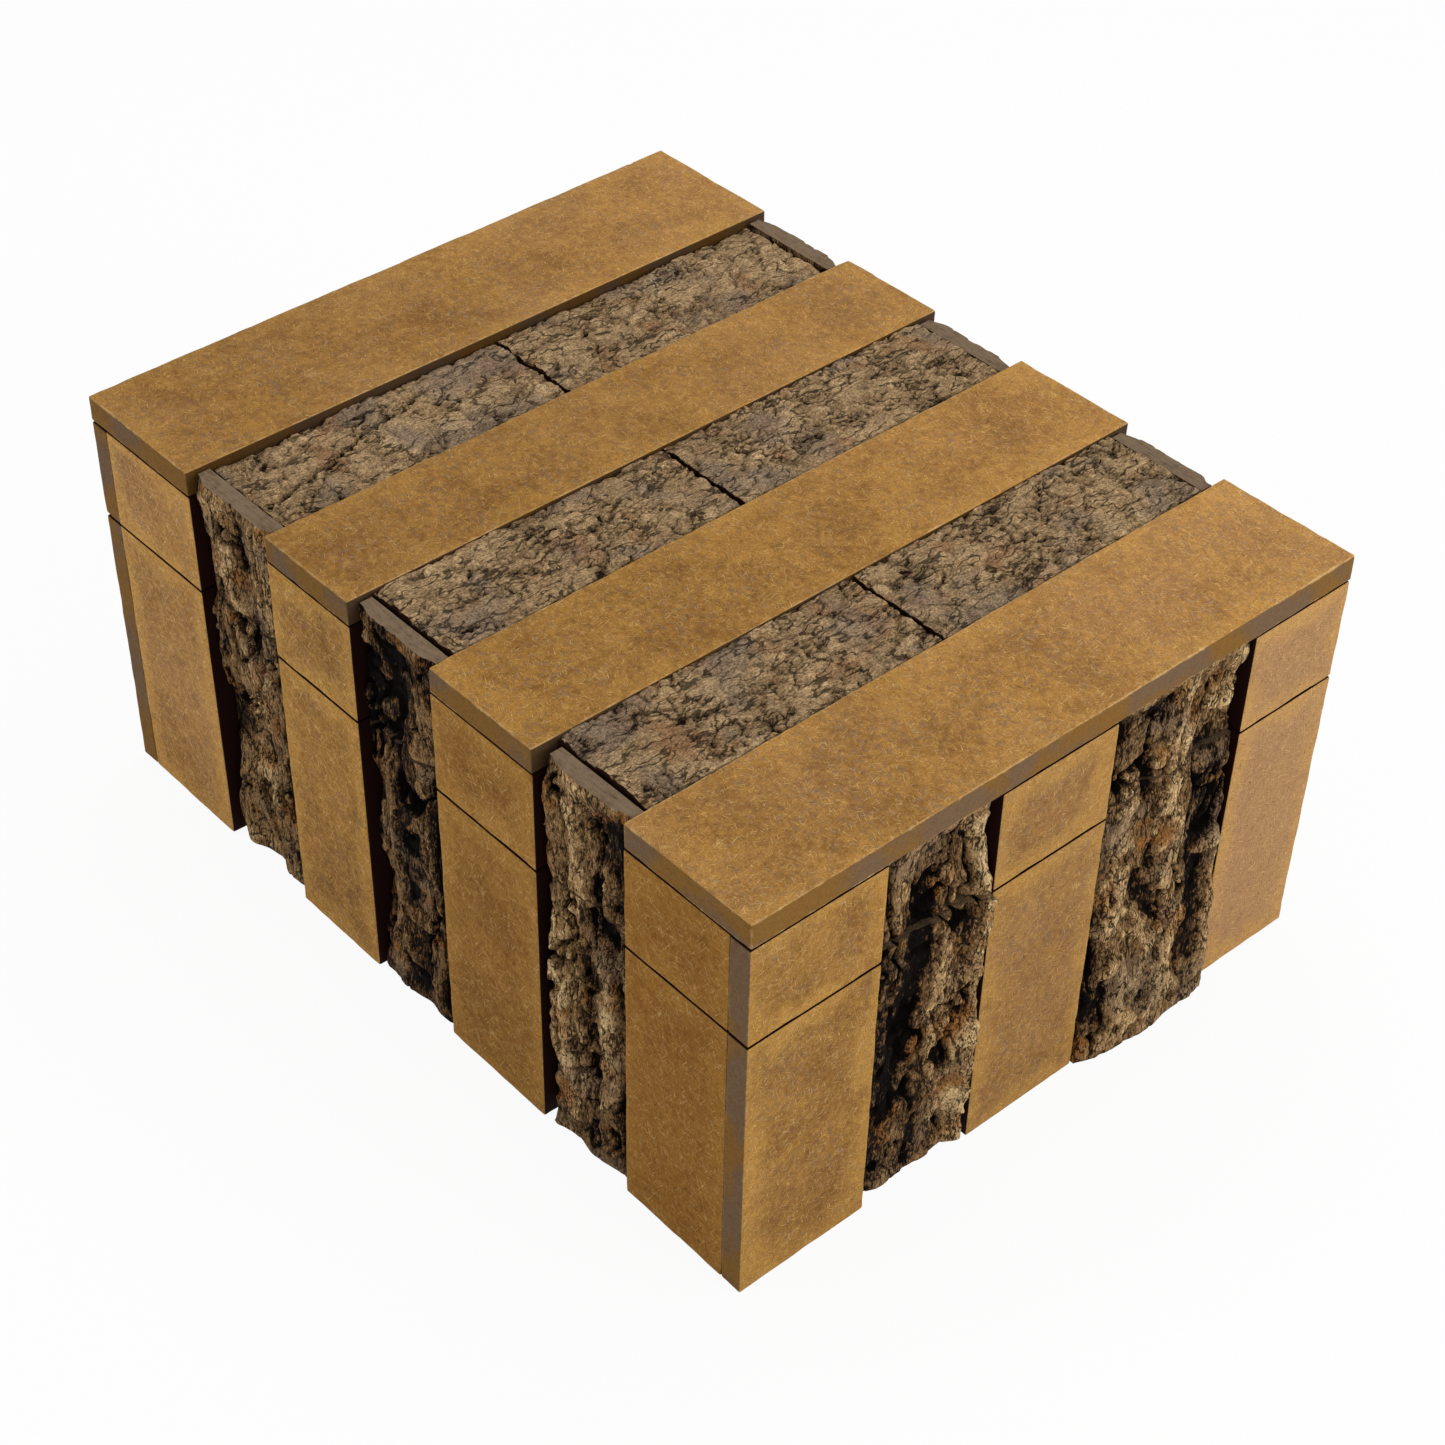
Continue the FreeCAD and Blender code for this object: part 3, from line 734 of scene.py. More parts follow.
PLANK_INPUTS = {
    "Vector": "Size, Centre, Row Axis, Face Axis, Seam Axis",
    "Int": "Vertices X, Vertices Y, Vertices Z",
    "Float": "Outer Reach, Arris, Seed, Shade, Paleness, Gap Stain, Rub",
    "Material": "Material",
}
# A plank's rows of vertices crowd towards its arrises by this power.
ROW_CROWDING = 1.6
# A vertex of the cube counts as on a face from here out to 1.
ON_FACE = 0.999
RUB_SIZE = 6.0
NICK_SIZE = 2.4
NICK_DEPTH = 0.55


def plank_tree() -> ShapeTree:
    """Makes the tree for a plank: a board with softened, unevenly rubbed arrises and a few nicks.

    Returns:
        The tree.
    """
    g = ShapeTree("plank", PLANK_INPUTS)
    shape = g.cube(**{axis: g[f"Vertices {axis}"] for axis in "XYZ"})
    spot = g.add("GeometryNodeInputPosition")
    crowded = [t.sign() * (1.0 - (1.0 - abs(t)).most(0.0) ** ROW_CROWDING) for t in spot.xyz()]
    half = g.scaled(g["Size"], 0.5)
    box = g.vmath("MULTIPLY", g.vector(*crowded), half)
    placed = g.vmath("ADD", box, g["Centre"])
    read_at = g.vmath("ADD", placed, g.vector(g["Seed"], 0.0, 0.0))
    rubbed = 0.55 + g.noise(read_at, RUB_SIZE).ramp(0.35, 0.75) * 0.9
    nick = g.noise(read_at, NICK_SIZE, 1.0).ramp(0.68, 0.80) * NICK_DEPTH
    radius = g["Arris"] * rubbed + nick
    core = g.vmath("SUBTRACT", half, g.vector(radius, radius, radius))
    held = g.vmath("MINIMUM", g.vmath("MAXIMUM", box, g.scaled(core, -1.0)), core)
    lift = g.scaled(g.vmath("NORMALIZE", g.vmath("SUBTRACT", box, held)), radius)
    moved = g.vmath("ADD", g.vmath("ADD", held, lift), g["Centre"])
    a, b, c = g.vmath("SUBTRACT", half, g.vmath("ABSOLUTE", box)).xyz()
    arris = a + b + c - a.least(b).least(c) - a.most(b).most(c)
    on_face = g.dot(spot, g["Face Axis"]) > ON_FACE
    on_row_end = abs(g.dot(spot, g["Row Axis"])) > ON_FACE
    on_seam = abs(g.dot(spot, g["Seam Axis"])) > ON_FACE
    inner = abs(g.dot(placed, g["Row Axis"])) < g["Outer Reach"]
    # Faces looking into a gap, which get dark stain and painted shade.
    gap = (on_row_end * inner).most(on_seam) * (1.0 - on_face)
    stored = {"arris": arris, "edge_face": 1.0 - on_face, "gap_face": gap * g["Gap Stain"],
              "rub": g["Rub"] * (1.0 - gap), "shade": g["Shade"],
              "paleness": g["Paleness"]}
    for label, value in stored.items():
        shape = g.store(shape, label, value)
    shape = g.add("GeometryNodeSetPosition", sockets={0: shape, "Position": moved})
    g.close(g.add("GeometryNodeSetShadeSmooth", sockets={0: shape}))
    return g


@dataclass(frozen=True)
class Tint:
    """How one plank took the stain; on the front it also holds painted light and shade."""

    shade: float
    paleness: float


@dataclass
class Plank:
    """One fibreboard plank that stands for a solid, or for one of the solids in a group."""

    name: str
    node: str
    body: str
    side: Side
    low: Vector
    high: Vector
    tint: Tint
    seed: float
    # How dark the gap faces get: dark stain and painted shade.
    gap_stain: float = 1.0
    rub: float = 0.3
    arris: float = 0.42
    step: float = 2.1
    fewest: int = 13

    def build(self, tree: ShapeTree, finish: bpy.types.Material, outer_reach: float) -> None:
        """Makes the plank and dresses it.

        Args:
            tree: the plank tree.
            finish: the fibreboard material.
            outer_reach: how far from the middle a row end still looks into a gap, in millimetres.
        """
        size = self.high - self.low
        seam_axis = Vector() if self.side is Side.TOP else self.side.along
        values = {
            "Size": size, "Centre": (self.low + self.high) / 2, "Row Axis": self.side.across,
            "Face Axis": self.side.out, "Seam Axis": seam_axis, "Outer Reach": outer_reach,
            "Arris": self.arris, "Seed": self.seed, "Shade": self.tint.shade,
            "Paleness": self.tint.paleness, "Gap Stain": self.gap_stain, "Rub": self.rub,
            "Material": finish,
        }
        for axis, length in zip("XYZ", size):
            values[f"Vertices {axis}"] = max(self.fewest, int(ROW_CROWDING * length / self.step))
        piece = tree.grow(self.name, values, Matrix.Scale(MM, 4))
        settle(piece, self.body, self.node)


@dataclass
class PlankWork:
    """All the planks: the panels on the four sides, in the base and in the lid, and the boards on top."""

    panel_gap: float = 0.4
    seam_cover: float = 0.25
    outer_slack: float = 1.0
    lid_shade: float = 1.02
    panel_seed: float = 37.0
    side_seed: float = 11.0
    board_seed: float = 53.0
    board_gap_stain: float = 0.55
    board_rub: float = 0.8
    tints: dict[Side, list[Tint]] = field(default_factory=lambda: {
        # The front panels get lighter at the left end and darker and deeper towards the right, partly their
        # stain and partly painted light from the left.
        Side.FRONT: [Tint(1.2, 0.34), Tint(1.12, 0.10), Tint(0.95, -0.28), Tint(0.89, -0.52)],
        Side.BACK: [Tint(1.0, 0.2), Tint(0.92, 0.1), Tint(1.05, 0.3), Tint(0.96, 0.15)],
        Side.LEFT: [Tint(0.98, 0.15), Tint(1.08, 0.3), Tint(0.94, 0.1)],
        Side.RIGHT: [Tint(1.04, 0.14), Tint(1.0, 0.32), Tint(1.09, 0.85)],
        Side.TOP: [Tint(1.0, 0.2), Tint(0.98, 0.12), Tint(1.04, 0.05), Tint(1.12, 0.2)],
    })

    def panels(self, side: Side) -> list[Plank]:
        """Lists the panels of one upright face.

        Args:
            side: the face.

        Returns:
            Each panel of the base with the one over it in the lid.
        """
        made = []
        label = side.label
        lid_node = f"lid_{label}_panels"
        lid_foot, lid_head = span(lid_node, UP)
        for order, tint in enumerate(self.tints[side], start=1):
            node = f"base_{label}_panel_{order}"
            low, high = (corner * PER_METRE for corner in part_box(node))
            seed = self.panel_seed * order + self.side_seed * len(label)
            made.append(Plank(f"{label}_panel_{order}", node, "base", side, low, high, tint, seed))
            low = Vector((low.x, low.y, lid_foot - self.seam_cover))
            high = Vector((high.x, high.y, lid_head - self.panel_gap))
            tint = Tint(tint.shade * self.lid_shade, tint.paleness)
            made.append(Plank(f"{label}_lid_panel_{order}", lid_node, "lid", side, low, high, tint, seed))
        return made

    def boards(self) -> list[Plank]:
        """Lists the boards on top.

        Returns:
            The boards, from left to right.
        """
        made = []
        for order, tint in enumerate(self.tints[Side.TOP], start=1):
            node = f"top_board_{order}"
            low, high = (corner * PER_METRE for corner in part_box(node))
            made.append(Plank(f"lid_board_{order}", node, "lid", Side.TOP, low, high, tint,
                              self.board_seed * order, self.board_gap_stain, self.board_rub))
        return made

    def build(self, finish: bpy.types.Material) -> None:
        """Makes and dresses every plank.

        Args:
            finish: the fibreboard material.
        """
        tree = plank_tree()
        for row in [self.panels(side) for side in UPRIGHT_SIDES] + [self.boards()]:
            across = row[0].side.across
            ends = [corner.dot(across) for plank in row for corner in (plank.low, plank.high)]
            for plank in row:
                plank.build(tree, finish, max(ends) - self.outer_slack)


BARK_INPUTS = {
    "Object": "Solid",
    "Int": "Vertices Across, Vertices Along",
    "Float": "Across Low, Across High, Along Low, Along High, Offset, Least, Most, Low Margin, "
             "High Margin, Raggedness, Low Thinning, High Thinning, Plate Width, Plate Length, Plate Step, "
             "Layers, Furrow, Split, Striation, Crinkle, Sway, Edge Drop, End Rounding, End Raggedness, "
             "End Calm, End Level, Foot Calm, Sawn, Tone, Tone Rise, Crack Depth",
    "Vector": "Shift, Crack Start, Crack End",
    "Material": "Material",
}


class BarkTree(ShapeTree):
    """The tree for a strip of bark: a slab whose outer face is broken into plates, furrows and wrinkles.

    It works in strip coordinates: across, along and out from the strip's flat back. A run is the length
    over which something fades out, and a spread is a pattern's size in plates.
    """

    half_height: float = 50.0
    flat_facing: float = 0.5
    ray_start: float = 60.0
    ray_length: float = 100.0
    ray_shares: Range = (0.86, 0.99)
    softening: int = 14
    torn_run: float = 4.0
    calm_run: float = 6.0
    thinned_run: float = 8.0
    dropped_run: float = 1.5
    rounded_run: float = 5.0
    rounding: float = 1.3
    end_run: float = 3.0
    tear_size: float = 5.0
    edge_size: float = 7.0
    edge_shift: float = 61.0
    bend_size: float = 9.0
    flake_spread: Range = (1.2, 1.7)
    flake_contrast: float = 1.9
    groove_spread: Range = (0.85, 2.4)
    groove_patch: float = 14.0
    split_patch: float = 9.0
    streak_size: Point = (1.1, 7.5, 1.0)
    wrinkle_size: Point = (2.2, 3.52, 2.2)
    crack_size: float = 5.0
    crack_sway: float = 5.0
    crack_width: Range = (0.85, 0.25)

    def __init__(self) -> None:
        """Builds the tree."""
        super().__init__("bark_strip", BARK_INPUTS)
        shape = self.cube(X=self["Vertices Across"], Y=self["Vertices Along"], Z=2)
        _, ny, nz = self.add("GeometryNodeInputNormal").xyz()
        ends = abs(ny) > self.flat_facing
        flat = ends.most(nz < -self.flat_facing)
        shape = self.store(shape, "sawn", ends * self["Sawn"], domain="FACE")
        shape = self.store(shape, "flat_part", flat, domain="FACE")
        tx, ty, tz = self.add("GeometryNodeInputPosition").xyz()
        across = self.between("Across", (tx + 1.0) * 0.5)
        along = self.torn(self.between("Along", (ty + 1.0) * 0.5), across)
        u = self.ragged(tx, along)
        solid = self.solid_height(across, along) + self["Offset"]
        relief = self.relief(across, along)
        body = self.shaped(solid, across, along)
        height = (body + relief).most(self["Least"]).least(self["Most"])
        place = self.vector(u, along, height * (tz > 0.0))
        tone = self["Tone"] + self["Tone Rise"] * (along / self.half_height - 1.0)
        shape = self.store(shape, "relief", relief + (body - solid) * 0.5 + tone)
        shape = self.store(shape, "grain", self.vmath("ADD", place, self["Shift"]), "FLOAT_VECTOR")
        shape = self.add("GeometryNodeSetPosition", sockets={0: shape, "Position": place})
        flat = self.add("GeometryNodeInputNamedAttribute", {"data_type": "FLOAT"}, {"Name": "flat_part"})
        smooth = {0: shape, "Shade Smooth": flat < self.flat_facing}
        self.close(self.add("GeometryNodeSetShadeSmooth", sockets=smooth))

    def solid_height(self, u: Wire, v: Wire) -> Wire:
        """Reads the thickness of the solid that the strip stands for, with its facets softened.

        Args:
            u: the place across.
            v: the place along.

        Returns:
            The thickness.
        """
        solid = self.add("GeometryNodeObjectInfo", sockets={"Object": self["Solid"]}, output="Geometry")
        inside = []
        for way, place, share in zip(("Across", "Along"), (u, v), self.ray_shares):
            middle = (self[f"{way} Low"] + self[f"{way} High"]) * 0.5
            inside.append(middle + (place - middle) * share)
        ray = {"Target Geometry": solid, "Source Position": self.vector(*inside, self.ray_start),
               "Ray Direction": (0.0, 0.0, -1.0), "Ray Length": self.ray_length}
        struck = self.add("GeometryNodeRaycast", {"data_type": "FLOAT"}, ray, "Hit Position").xyz()[2]
        blur = {"Value": struck, "Iterations": self.softening}
        return self.add("GeometryNodeBlurAttribute", {"data_type": "FLOAT"}, blur)

    def between(self, way: str, share: Wire) -> Wire:
        """Gives the place at a share of the strip's reach one way."""
        low, high = self[f"{way} Low"], self[f"{way} High"]
        return low + (high - low) * share

    def at(self, u: Wire | float, v: Wire) -> Wire:
        """Gives where the patterns are read."""
        return self.vmath("ADD", self.vector(u, v, 0.0), self["Shift"])

    def bent(self, place: Wire, sway: Wire, reach: Wire | float) -> Wire:
        """Moves a place by a noise's colour, as far as the reach."""
        centred = self.vmath("SUBTRACT", sway, (NOISE_MIDDLE,) * 3)
        return self.vmath("ADD", place, self.scaled(centred, reach))

    def torn(self, along: Wire, across: Wire) -> Wire:
        """Draws the strip's two ends in by an uneven amount.

        Args:
            along: the place along the strip.
            across: the place across it.

        Returns:
            The place along, in millimetres.
        """
        low, high = self["Along Low"], self["Along High"]
        bite = self.noise(self.at(across, low), self.tear_size).ramp(0.35, 0.75) * self["End Raggedness"]
        inwards = (along - low).ramp(self.torn_run, 0.0) - (high - along).ramp(self.torn_run, 0.0)
        return along + bite * inwards

    def ragged(self, tx: Wire, along: Wire) -> Wire:
        """Moves the strip's two long edges in by an uneven margin.

        Args:
            tx: the place across, from minus one to one.
            along: the place along the strip.

        Returns:
            The place across, in millimetres.
        """
        torn = []
        for shift in (0.0, self.edge_shift):
            bite = self.noise(self.at(shift, along), self.edge_size).ramp(0.35, 0.7)
            torn.append(bite * self["Raggedness"])
        start = self["Across Low"] + self["Low Margin"] + torn[0]
        end = self["Across High"] - self["High Margin"] - torn[1]
        return start + (end - start) * (tx + 1.0) * 0.5

    def relief(self, u: Wire, v: Wire) -> Wire:
        """Breaks the surface into layered flakes, furrows, streaks and wrinkles.

        Args:
            u: the place across.
            v: the place along.

        Returns:
            The height over the strip's body.
        """
        spot = self.at(u, v)
        bent = self.bent(spot, self.noise(spot, self.bend_size, 1.5, output=1), self["Sway"])
        width, length, layers = self["Plate Width"], self["Plate Length"], self["Layers"]
        wide, long = self.flake_spread
        lie = self.swing(bent, self.vector(width * wide, length * long, 1.0), 0.8, 0.4)
        stacked = (lie * self.flake_contrast + 0.5) * layers
        part = self.math("FRACT", stacked)
        flake = (self.math("FLOOR", stacked) + part.ramp(0.82, 0.98) * 0.8 + part * 0.2) / layers
        relief = (flake - 0.5) * self["Plate Step"] * 2.0
        split = self.cell_walls(self.vmath("DIVIDE", bent, self.vector(width, length, 1.0)))
        wide, long = self.groove_spread
        groove = self.swing(bent, self.vector(width * wide, length * long, 1.0), 1.0, 0.4)
        lines = ((abs(groove).ramp(0.0, 0.05), self.groove_patch, "Furrow"),
                 (split.ramp(0.0, 0.07), self.split_patch, "Split"))
        for line, size, deep in lines:
            shown = self.noise(self.vmath("ADD", spot, (size, size, 0.0)), size, 1.0).ramp(0.36, 0.56)
            relief = relief + (line - 1.0) * shown * self[deep]
        relief = relief + self.swing(bent, self.streak_size) * self["Striation"]
        curl = self.noise(bent, self.wrinkle_size, 1.5)
        ridge = 1.0 - abs(curl * 2.0 - 1.0) * 3.5
        relief = relief + ridge.most(-0.6) * self["Crinkle"]
        foot = (v - self["Along Low"]).ramp(self.calm_run, 0.0) * self["Foot Calm"]
        return relief * (1.0 - self.calm(v)) * (1.0 - foot)

    def calm(self, v: Wire) -> Wire:
        """Gives how far the top end smooths the bark, from 0 to the input's value at the end itself."""
        return (self["Along High"] - v).ramp(self.calm_run, 0.0) * self["End Calm"]

    def shaped(self, body: Wire, u: Wire, v: Wire) -> Wire:
        """Thins the edges, rounds the top end and opens the strip's long crack.

        Args:
            body: the thickness so far.
            u: the place across.
            v: the place along.

        Returns:
            The thickness.
        """
        from_low, from_high = u - self["Across Low"], self["Across High"] - u
        from_edge = from_low.least(from_high)
        body = body - self["Low Thinning"] * from_low.ramp(self.thinned_run, 0.0)
        body = body - self["High Thinning"] * from_high.ramp(self.thinned_run, 0.0)
        body = body - self["Edge Drop"] * from_edge.ramp(self.dropped_run, 0.0)
        rounded = self["End Level"] - self.rounding * from_edge.ramp(self.rounded_run, 0.0)
        body = body + (rounded - body) * self.calm(v)
        body = body - self["End Rounding"] * (self["Along High"] - v).ramp(self.end_run, 0.0)
        sway = self.noise(self.at(u, v), self.crack_size, 3.0, 0.6, output=1)
        start = self["Crack Start"]
        run = self.vmath("SUBTRACT", self["Crack End"], start)
        reach = self.vmath("SUBTRACT", self.bent(self.vector(u, v, 0.0), sway, self.crack_sway), start)
        share = self.dot(reach, run) / self.dot(run, run)
        foot = self.scaled(run, share.most(0.0).least(1.0))
        away = self.vmath("LENGTH", self.vmath("SUBTRACT", reach, foot), output=1)
        return body - self["Crack Depth"] * away.ramp(*self.crack_width)


@dataclass(frozen=True)
class BarkCut:
    """How one piece of bark differs from the next: inputs of its tree, and how far it sinks in the lid."""

    offset: float = -0.3
    most: float = 5.45
    low_margin: float = 0.4
    high_margin: float = 0.4
    raggedness: float = 1.2
    low_thinning: float = 0.5
    high_thinning: float = 0.5
    plate_width: float = 8.0
    plate_length: float = 32.0
    plate_step: float = 1.3
    layers: float = 3.0
    furrow: float = 2.2
    split: float = 0.1
    striation: float = 0.8
    crinkle: float = 0.03
    sway: float = 2.6
    end_rounding: float = 0.0
    edge_drop: float = 0.4
    lid_sink: float = 0.0
    end_raggedness: float = 0.0
    tone: float = 0.0
    tone_rise: float = 0.0
    crack_start: Point = (0.0, 0.0, 0.0)
    crack_end: Point = (1.0, 1.0, 0.0)
    crack_depth: float = 0.0


@dataclass
class BarkPiece:
    """One piece of bark, which stands for a solid or for one of the solids in a group."""

    name: str
    node: str
    body: str
    side: Side
    across: Range
    along: Range
    level: float
    cut: BarkCut
    shift: Point
    end_calm: float = 0.0
    end_level: float = 5.1
    foot_calm: float = 0.85
    foot_sawn: float = 0.45
    least: float = 0.7
    grid: float = 0.42

    def build(self, tree: BarkTree, finish: bpy.types.Material) -> None:
        """Makes the piece and dresses it.

        Args:
            tree: the bark tree.
            finish: the bark material.
        """
        place = self.side.matrix(self.level)
        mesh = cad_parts[self.node].data.copy()
        mesh.transform(place.inverted())
        solid = put(self.name + "_solid", mesh)
        values = {name.replace("_", " ").title(): value for name, value in asdict(self.cut).items()}
        sink = values.pop("Lid Sink")
        if self.body == "lid":
            values.update({"Offset": self.cut.offset - sink, "Foot Calm": 0.0, "Sawn": 1.0})
        else:
            values.update({"End Rounding": 0.0, "Foot Calm": self.foot_calm, "Sawn": self.foot_sawn})
        for way, (low, high) in (("Across", self.across), ("Along", self.along)):
            count = int((high - low) / self.grid)
            values.update({f"{way} Low": low, f"{way} High": high, f"Vertices {way}": count})
        values.update({"Solid": solid, "Least": self.least, "End Calm": self.end_calm,
                       "End Level": self.end_level, "Shift": self.shift, "Material": finish})
        piece = tree.grow(self.name, values, place)
        bpy.data.objects.remove(solid)
        settle(piece, self.body, self.node)


FRONT_CUT = BarkCut(offset=0.1, end_rounding=0.8, low_thinning=0.0)
SIDE_CUT = BarkCut(offset=0.0, most=8.9, plate_width=9.0, plate_length=34.0, plate_step=1.5, furrow=2.6,
                   low_thinning=-0.8, high_thinning=-0.8)
TOP_CUT = BarkCut(offset=0.75, most=5.95, low_margin=0.1, high_margin=0.15, raggedness=0.4,
                  plate_width=9.0, plate_length=10.0, plate_step=0.35, furrow=0.85, split=0.45,
                  striation=0.08, crinkle=0.15, low_thinning=0.0, high_thinning=0.0, edge_drop=0.1,
                  sway=8.0, end_raggedness=0.55)


@dataclass
class BarkWork:
    """All the bark: strips down the sides, sawn through at the seam, and two lengths in each top gap."""

    lid_calm: float = 0.85
    shift_steps: Point = (71.0, 19.0, 5.0)
    top_shift: float = 83.0
    rear_shift: float = 240.0
    cuts: dict[Side, list[BarkCut]] = field(default_factory=lambda: {
        Side.FRONT: [
            BarkCut(end_rounding=0.8, low_margin=0.3, tone=0.5, tone_rise=-0.15),
            BarkCut(end_rounding=0.8, low_thinning=-0.4, low_margin=0.3, furrow=2.8, tone=-0.4,
                    tone_rise=0.1),
            BarkCut(end_rounding=0.8, low_thinning=-0.6, low_margin=1.4, tone=0.3, tone_rise=0.1),
        ],
        Side.BACK: [FRONT_CUT, FRONT_CUT, FRONT_CUT],
        Side.LEFT: [SIDE_CUT, SIDE_CUT],
        Side.RIGHT: [
            BarkCut(offset=0.1, most=7.5, plate_width=8.5, plate_step=1.4, furrow=2.6, low_thinning=1.4,
                    high_thinning=-2.2, high_margin=0.3, edge_drop=0.2, lid_sink=0.8, tone=0.1),
            BarkCut(offset=0.1, most=9.2, plate_width=9.5, plate_length=34.0, plate_step=1.5, furrow=2.6,
                    high_thinning=-1.6, high_margin=0.5, edge_drop=0.2, tone=0.33),
        ],
        Side.TOP: [
            BarkCut(offset=0.4, most=5.2, raggedness=0.6, plate_width=10.0, plate_length=9.0,
                    plate_step=0.4, furrow=0.7, split=0.5, striation=0.1, crinkle=0.18, low_thinning=0.1,
                    high_thinning=0.2, edge_drop=0.2, sway=8.0, tone=0.05, end_raggedness=0.55,
                    crack_start=(-49.0, -72.0, 0.0), crack_end=(-63.0, -23.0, 0.0), crack_depth=2.8),
            TOP_CUT, TOP_CUT,
        ],
    })

    def gaps(self, side: Side) -> list[tuple[int, Range, BarkCut]]:
        """Finds the gaps between a face's planks.

        Args:
            side: the face.

        Returns:
            For each gap its order, its two ends across the face in millimetres, and the bark's cut.
        """
        stem = "top_board" if side is Side.TOP else f"base_{side.label}_panel"
        cuts = self.cuts[side]
        spans = [span(f"{stem}_{order}", side.across) for order in range(1, len(cuts) + 2)]
        ends = [(min(a[1], b[1]), max(a[0], b[0])) for a, b in zip(spans, spans[1:])]
        return list(zip(range(1, len(cuts) + 1), ends, cuts))

    def strips(self, side: Side) -> list[BarkPiece]:
        """Lists the strips of one upright face.

        Args:
            side: the face.

        Returns:
            Each strip of the base with the one over it in the lid.
        """
        made = []
        label = side.label
        level = span(f"base_{label}_wall", side.out)[1]
        x, y, z = self.shift_steps
        for order, gap, cut in self.gaps(side):
            shift = (x * order, y * len(label), z * order)
            node = f"base_{label}_bark_{order}"
            made.append(BarkPiece(f"{label}_strip_{order}", node, "base", side, gap, span(node, UP),
                                  level, cut, shift))
            node = f"lid_{label}_bark"
            made.append(BarkPiece(f"{label}_lid_strip_{order}", node, "lid", side, gap, span(node, UP),
                                  level, cut, shift, self.lid_calm))
        return made

    def top_lengths(self) -> list[BarkPiece]:
        """Lists the two lengths in each gap on top.

        Returns:
            The lengths, from left to right and from front to rear.
        """
        made = []
        level = span("lid_top_panel", UP)[1]
        for order, gap, cut in self.gaps(Side.TOP):
            for length, shift in (("front", 0.0), ("rear", self.rear_shift)):
                node = f"top_bark_{order}_{length}"
                made.append(BarkPiece(f"top_strip_{order}_{length}", node, "lid", Side.TOP, gap,
                                      span(node, Side.TOP.along), level, cut,
                                      (self.top_shift * order, shift, 0.0)))
        return made

    def build(self, side_finish: bpy.types.Material, top_finish: bpy.types.Material) -> None:
        """Makes and dresses every piece.

        Args:
            side_finish: the material of the strips on the four sides.
            top_finish: the material of the lengths on top.
        """
        tree = BarkTree()
        for side in UPRIGHT_SIDES:
            for piece in self.strips(side):
                piece.build(tree, side_finish)
        for piece in self.top_lengths():
            piece.build(tree, top_finish)


@dataclass
class FrameWork:
    """The solids that keep their own shape: the carcass under the skin, and the hinges behind."""

    carcass: tuple[str, ...] = ("base_bottom", "base_front_wall", "base_back_wall", "base_left_wall",
                                "base_right_wall", "lid_top_panel", "lid_front_rail", "lid_back_rail",
                                "lid_left_rail", "lid_right_rail")
    hinges: tuple[str, ...] = ("hinge_base_leaves", "hinge_base_screws", "hinge_pins", "hinge_lid_leaves",
                               "hinge_lid_screws")

    def dress(self) -> None:
        """Gives each solid its finish."""
        stain, brass = CarcassFinish().make(), BrassFinish().make()
        for names, finish in ((self.carcass, stain), (self.hinges, brass)):
            for name in names:
                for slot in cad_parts[name].material_slots:
                    slot.material = finish
                LOG.info("%s: dressed in %s", name, finish.name)


@dataclass(frozen=True)
class Softbox:
    """One lamp: where it stands, what it points at, how wide it is and its power."""

    name: str
    place: Point
    width: float
    power: float
    aim: Point = (0.0, 0.0, 40.0)

    def build(self) -> None:
        """Hangs the lamp."""
        lamp = bpy.data.lights.new(self.name, "AREA")
        lamp.shape = "SQUARE"
        lamp.size = self.width * MM
        lamp.energy = self.power
        stand = put(self.name, lamp)
        stand.location = Vector(self.place) * MM
        stand.rotation_euler = (Vector(self.place) - Vector(self.aim)).to_track_quat("Z", "Y").to_euler()


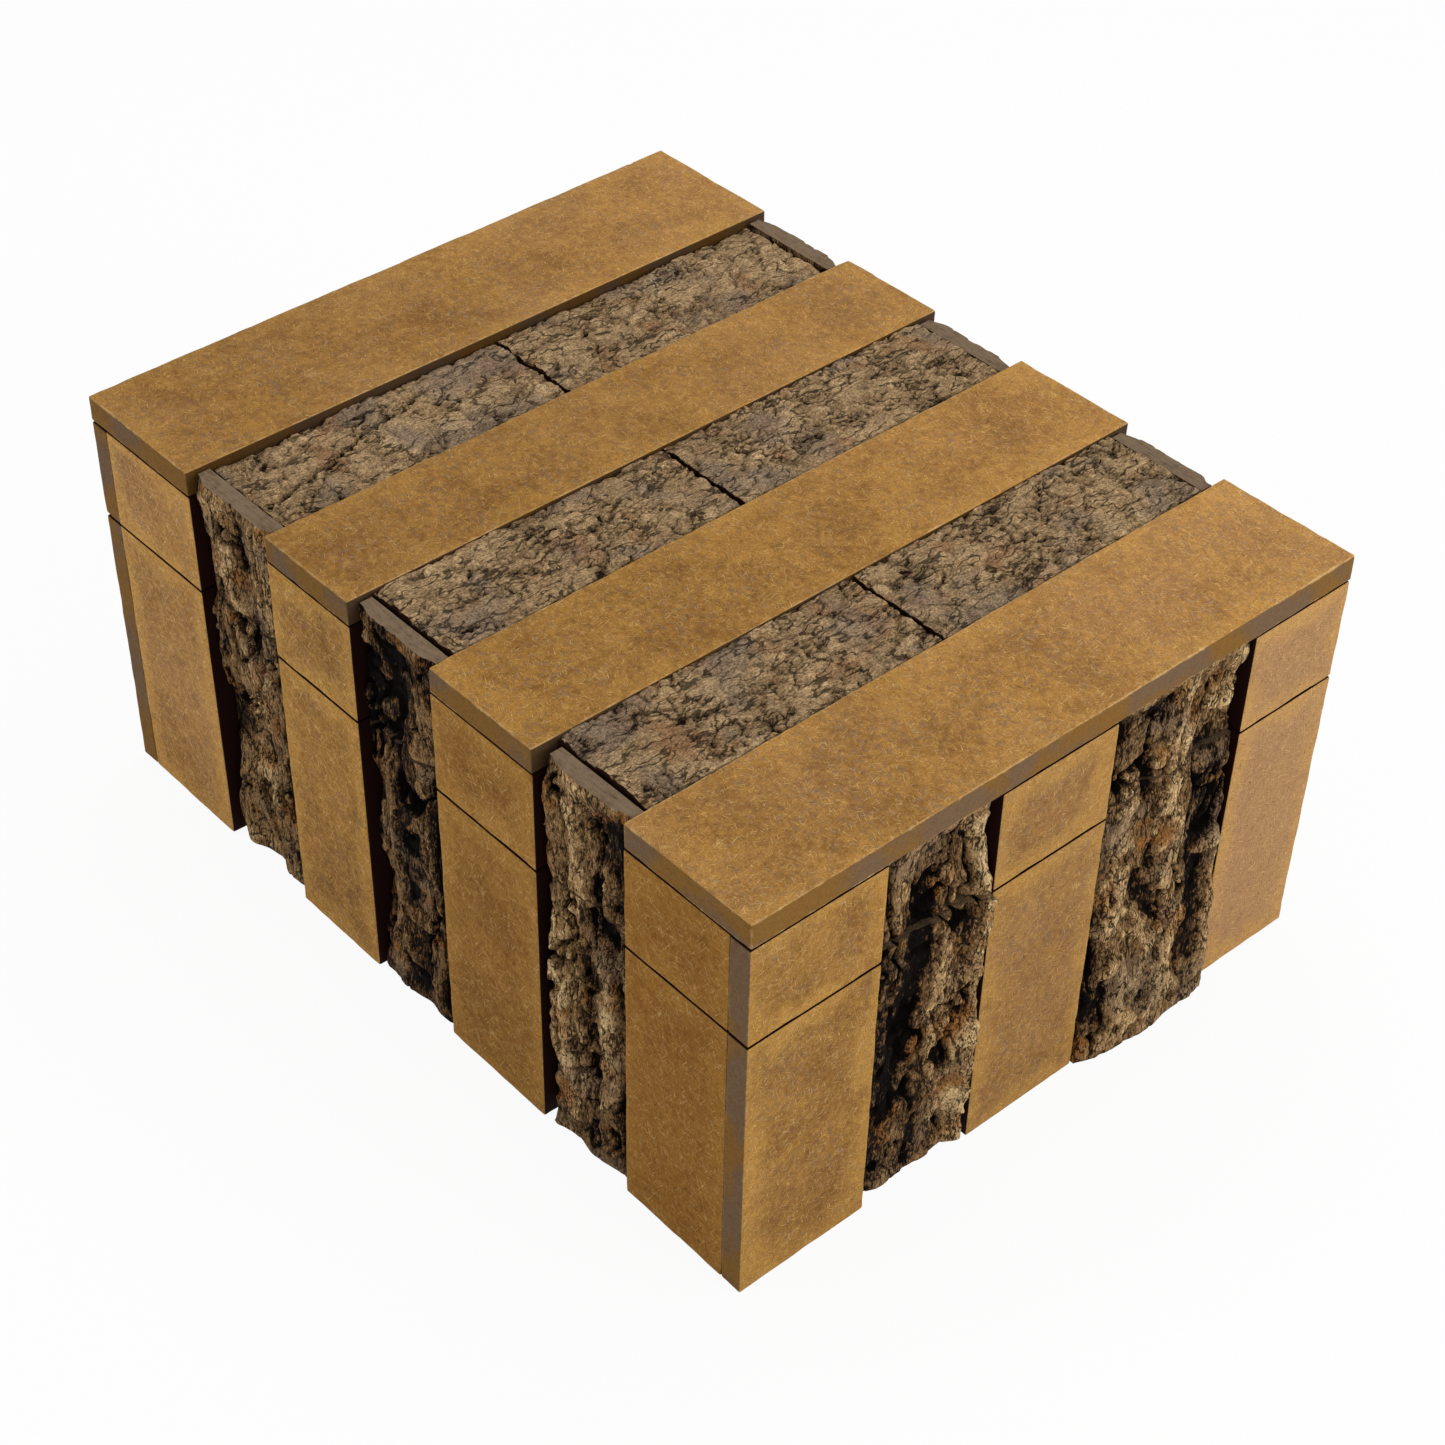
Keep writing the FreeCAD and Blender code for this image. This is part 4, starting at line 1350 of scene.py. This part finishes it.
@dataclass
class Studio:
    """The floor, the lamps, the plain surroundings and the camera."""

    floor_size: float = 6000.0
    floor_drop: float = 0.1
    floor_colour: Colour = (0.9, 0.9, 0.9)
    floor_whiteness: float = 0.93
    surround: float = 0.46
    camera_place: Point = (353.376, -314.854, 437.178)
    camera_turn: Point = (47.4727, 0.1263, 49.6378)
    lens: float = 70.301
    lens_shift: Range = (0.05639, 0.06876)
    lamps: tuple[Softbox, ...] = (
        Softbox("lamp_above", (-80.0, 220.0, 880.0), 700.0, 3.1),
        Softbox("lamp_right", (900.0, 250.0, 420.0), 600.0, 3.7),
        Softbox("lamp_left", (-520.0, -760.0, 380.0), 500.0, 1.7),
    )

    def build(self) -> None:
        """Makes the studio."""
        self.floor()
        self.surroundings()
        for lamp in self.lamps:
            lamp.build()
        self.camera()

    def camera(self) -> None:
        """Sets up the camera."""
        data = bpy.data.cameras.new("camera")
        data.lens = self.lens
        data.shift_x, data.shift_y = self.lens_shift
        camera = put("camera", data)
        camera.location = Vector(self.camera_place) * MM
        camera.rotation_euler = Euler([math.radians(turn) for turn in self.camera_turn])
        bpy.context.scene.camera = camera
        bpy.context.scene.view_settings.view_transform = "Standard"

    @staticmethod
    def seen(g: Graph) -> Wire:
        """Is 1 for rays that show the background: from the camera, off a gloss or through glass.

        Args:
            g: the tree that asks.

        Returns:
            The wire of 1 or 0.
        """
        rays = g.add("ShaderNodeLightPath").socket.node.outputs
        camera = Wire(g, rays["Is Camera Ray"])
        return camera.most(Wire(g, rays["Is Glossy Ray"])).most(Wire(g, rays["Is Transmission Ray"]))

    def floor(self) -> None:
        """Lays a pale floor that shows white and keeps the shadow."""
        half, level = self.floor_size / 2 * MM, -self.floor_drop * MM
        mesh = bpy.data.meshes.new("floor")
        corners = [(x * half, y * half, level) for x, y in ((-1, -1), (1, -1), (1, 1), (-1, 1))]
        mesh.from_pydata(corners, [], [(0, 1, 2, 3)])
        floor = put("floor", mesh)
        g = FinishGraph("pale_floor")
        paint = g.add("ShaderNodeBsdfDiffuse", sockets={"Color": (*self.floor_colour, 1.0)})
        glow = g.add("ShaderNodeEmission", sockets={"Color": WHITE, "Strength": 1.0})
        shares = {0: self.seen(g) * self.floor_whiteness, 1: paint, 2: glow}
        mixed = g.add("ShaderNodeMixShader", sockets=shares)
        g.add("ShaderNodeOutputMaterial", sockets={"Surface": mixed})
        mesh.materials.append(g.material)

    def surroundings(self) -> None:
        """Fills the room with even light and shows it white."""
        world = bpy.data.worlds.new("surroundings")
        world.use_nodes = True
        bpy.context.scene.world = world
        g = Graph(world.node_tree)
        g.tree.nodes.clear()
        strength = self.surround + self.seen(g) * (1.0 - self.surround)
        sky = g.add("ShaderNodeBackground", sockets={"Color": WHITE, "Strength": strength})
        g.add("ShaderNodeOutputWorld", sockets={"Surface": sky})


# The side bark's crevices are near black, partly painted shade.
SIDE_BARK = BarkFinish("side_bark", crevice=(0.002, 0.001, 0.0007), body=(0.100, 0.052, 0.021),
                       crest=(0.36, 0.218, 0.096), fleck=(0.62, 0.43, 0.21), patch=(0.29, 0.105, 0.018),
                       grey=(0.180, 0.126, 0.082), low=-1.8, high=1.35)
TOP_BARK = BarkFinish("top_bark", crevice=(0.010, 0.006, 0.004), body=(0.180, 0.114, 0.057),
                      crest=(0.435, 0.290, 0.150), fleck=(0.64, 0.48, 0.26), patch=(0.265, 0.128, 0.056),
                      grey=(0.172, 0.134, 0.108), low=-1.75, high=1.0, sawn=(0.030, 0.012, 0.007),
                      sawn_dark=(0.008, 0.004, 0.003), grain=0.7, streak_size=(0.42, 1.9, 0.42),
                      lumps=0.5, pitting=0.3, pit_size=(0.4, 1.4, 0.4), veining=0.8,
                      vein_size=(3.2, 9.0, 3.2), vein_reach=0.034)


def main() -> None:
    """Builds the box's looks in order."""
    logging.basicConfig(level=logging.INFO, format="%(name)s: %(message)s")
    Studio().build()
    PlankWork().build(FibreboardFinish().make())
    BarkWork().build(SIDE_BARK.make(), TOP_BARK.make())
    FrameWork().dress()


if __name__ == "__main__":
    main()
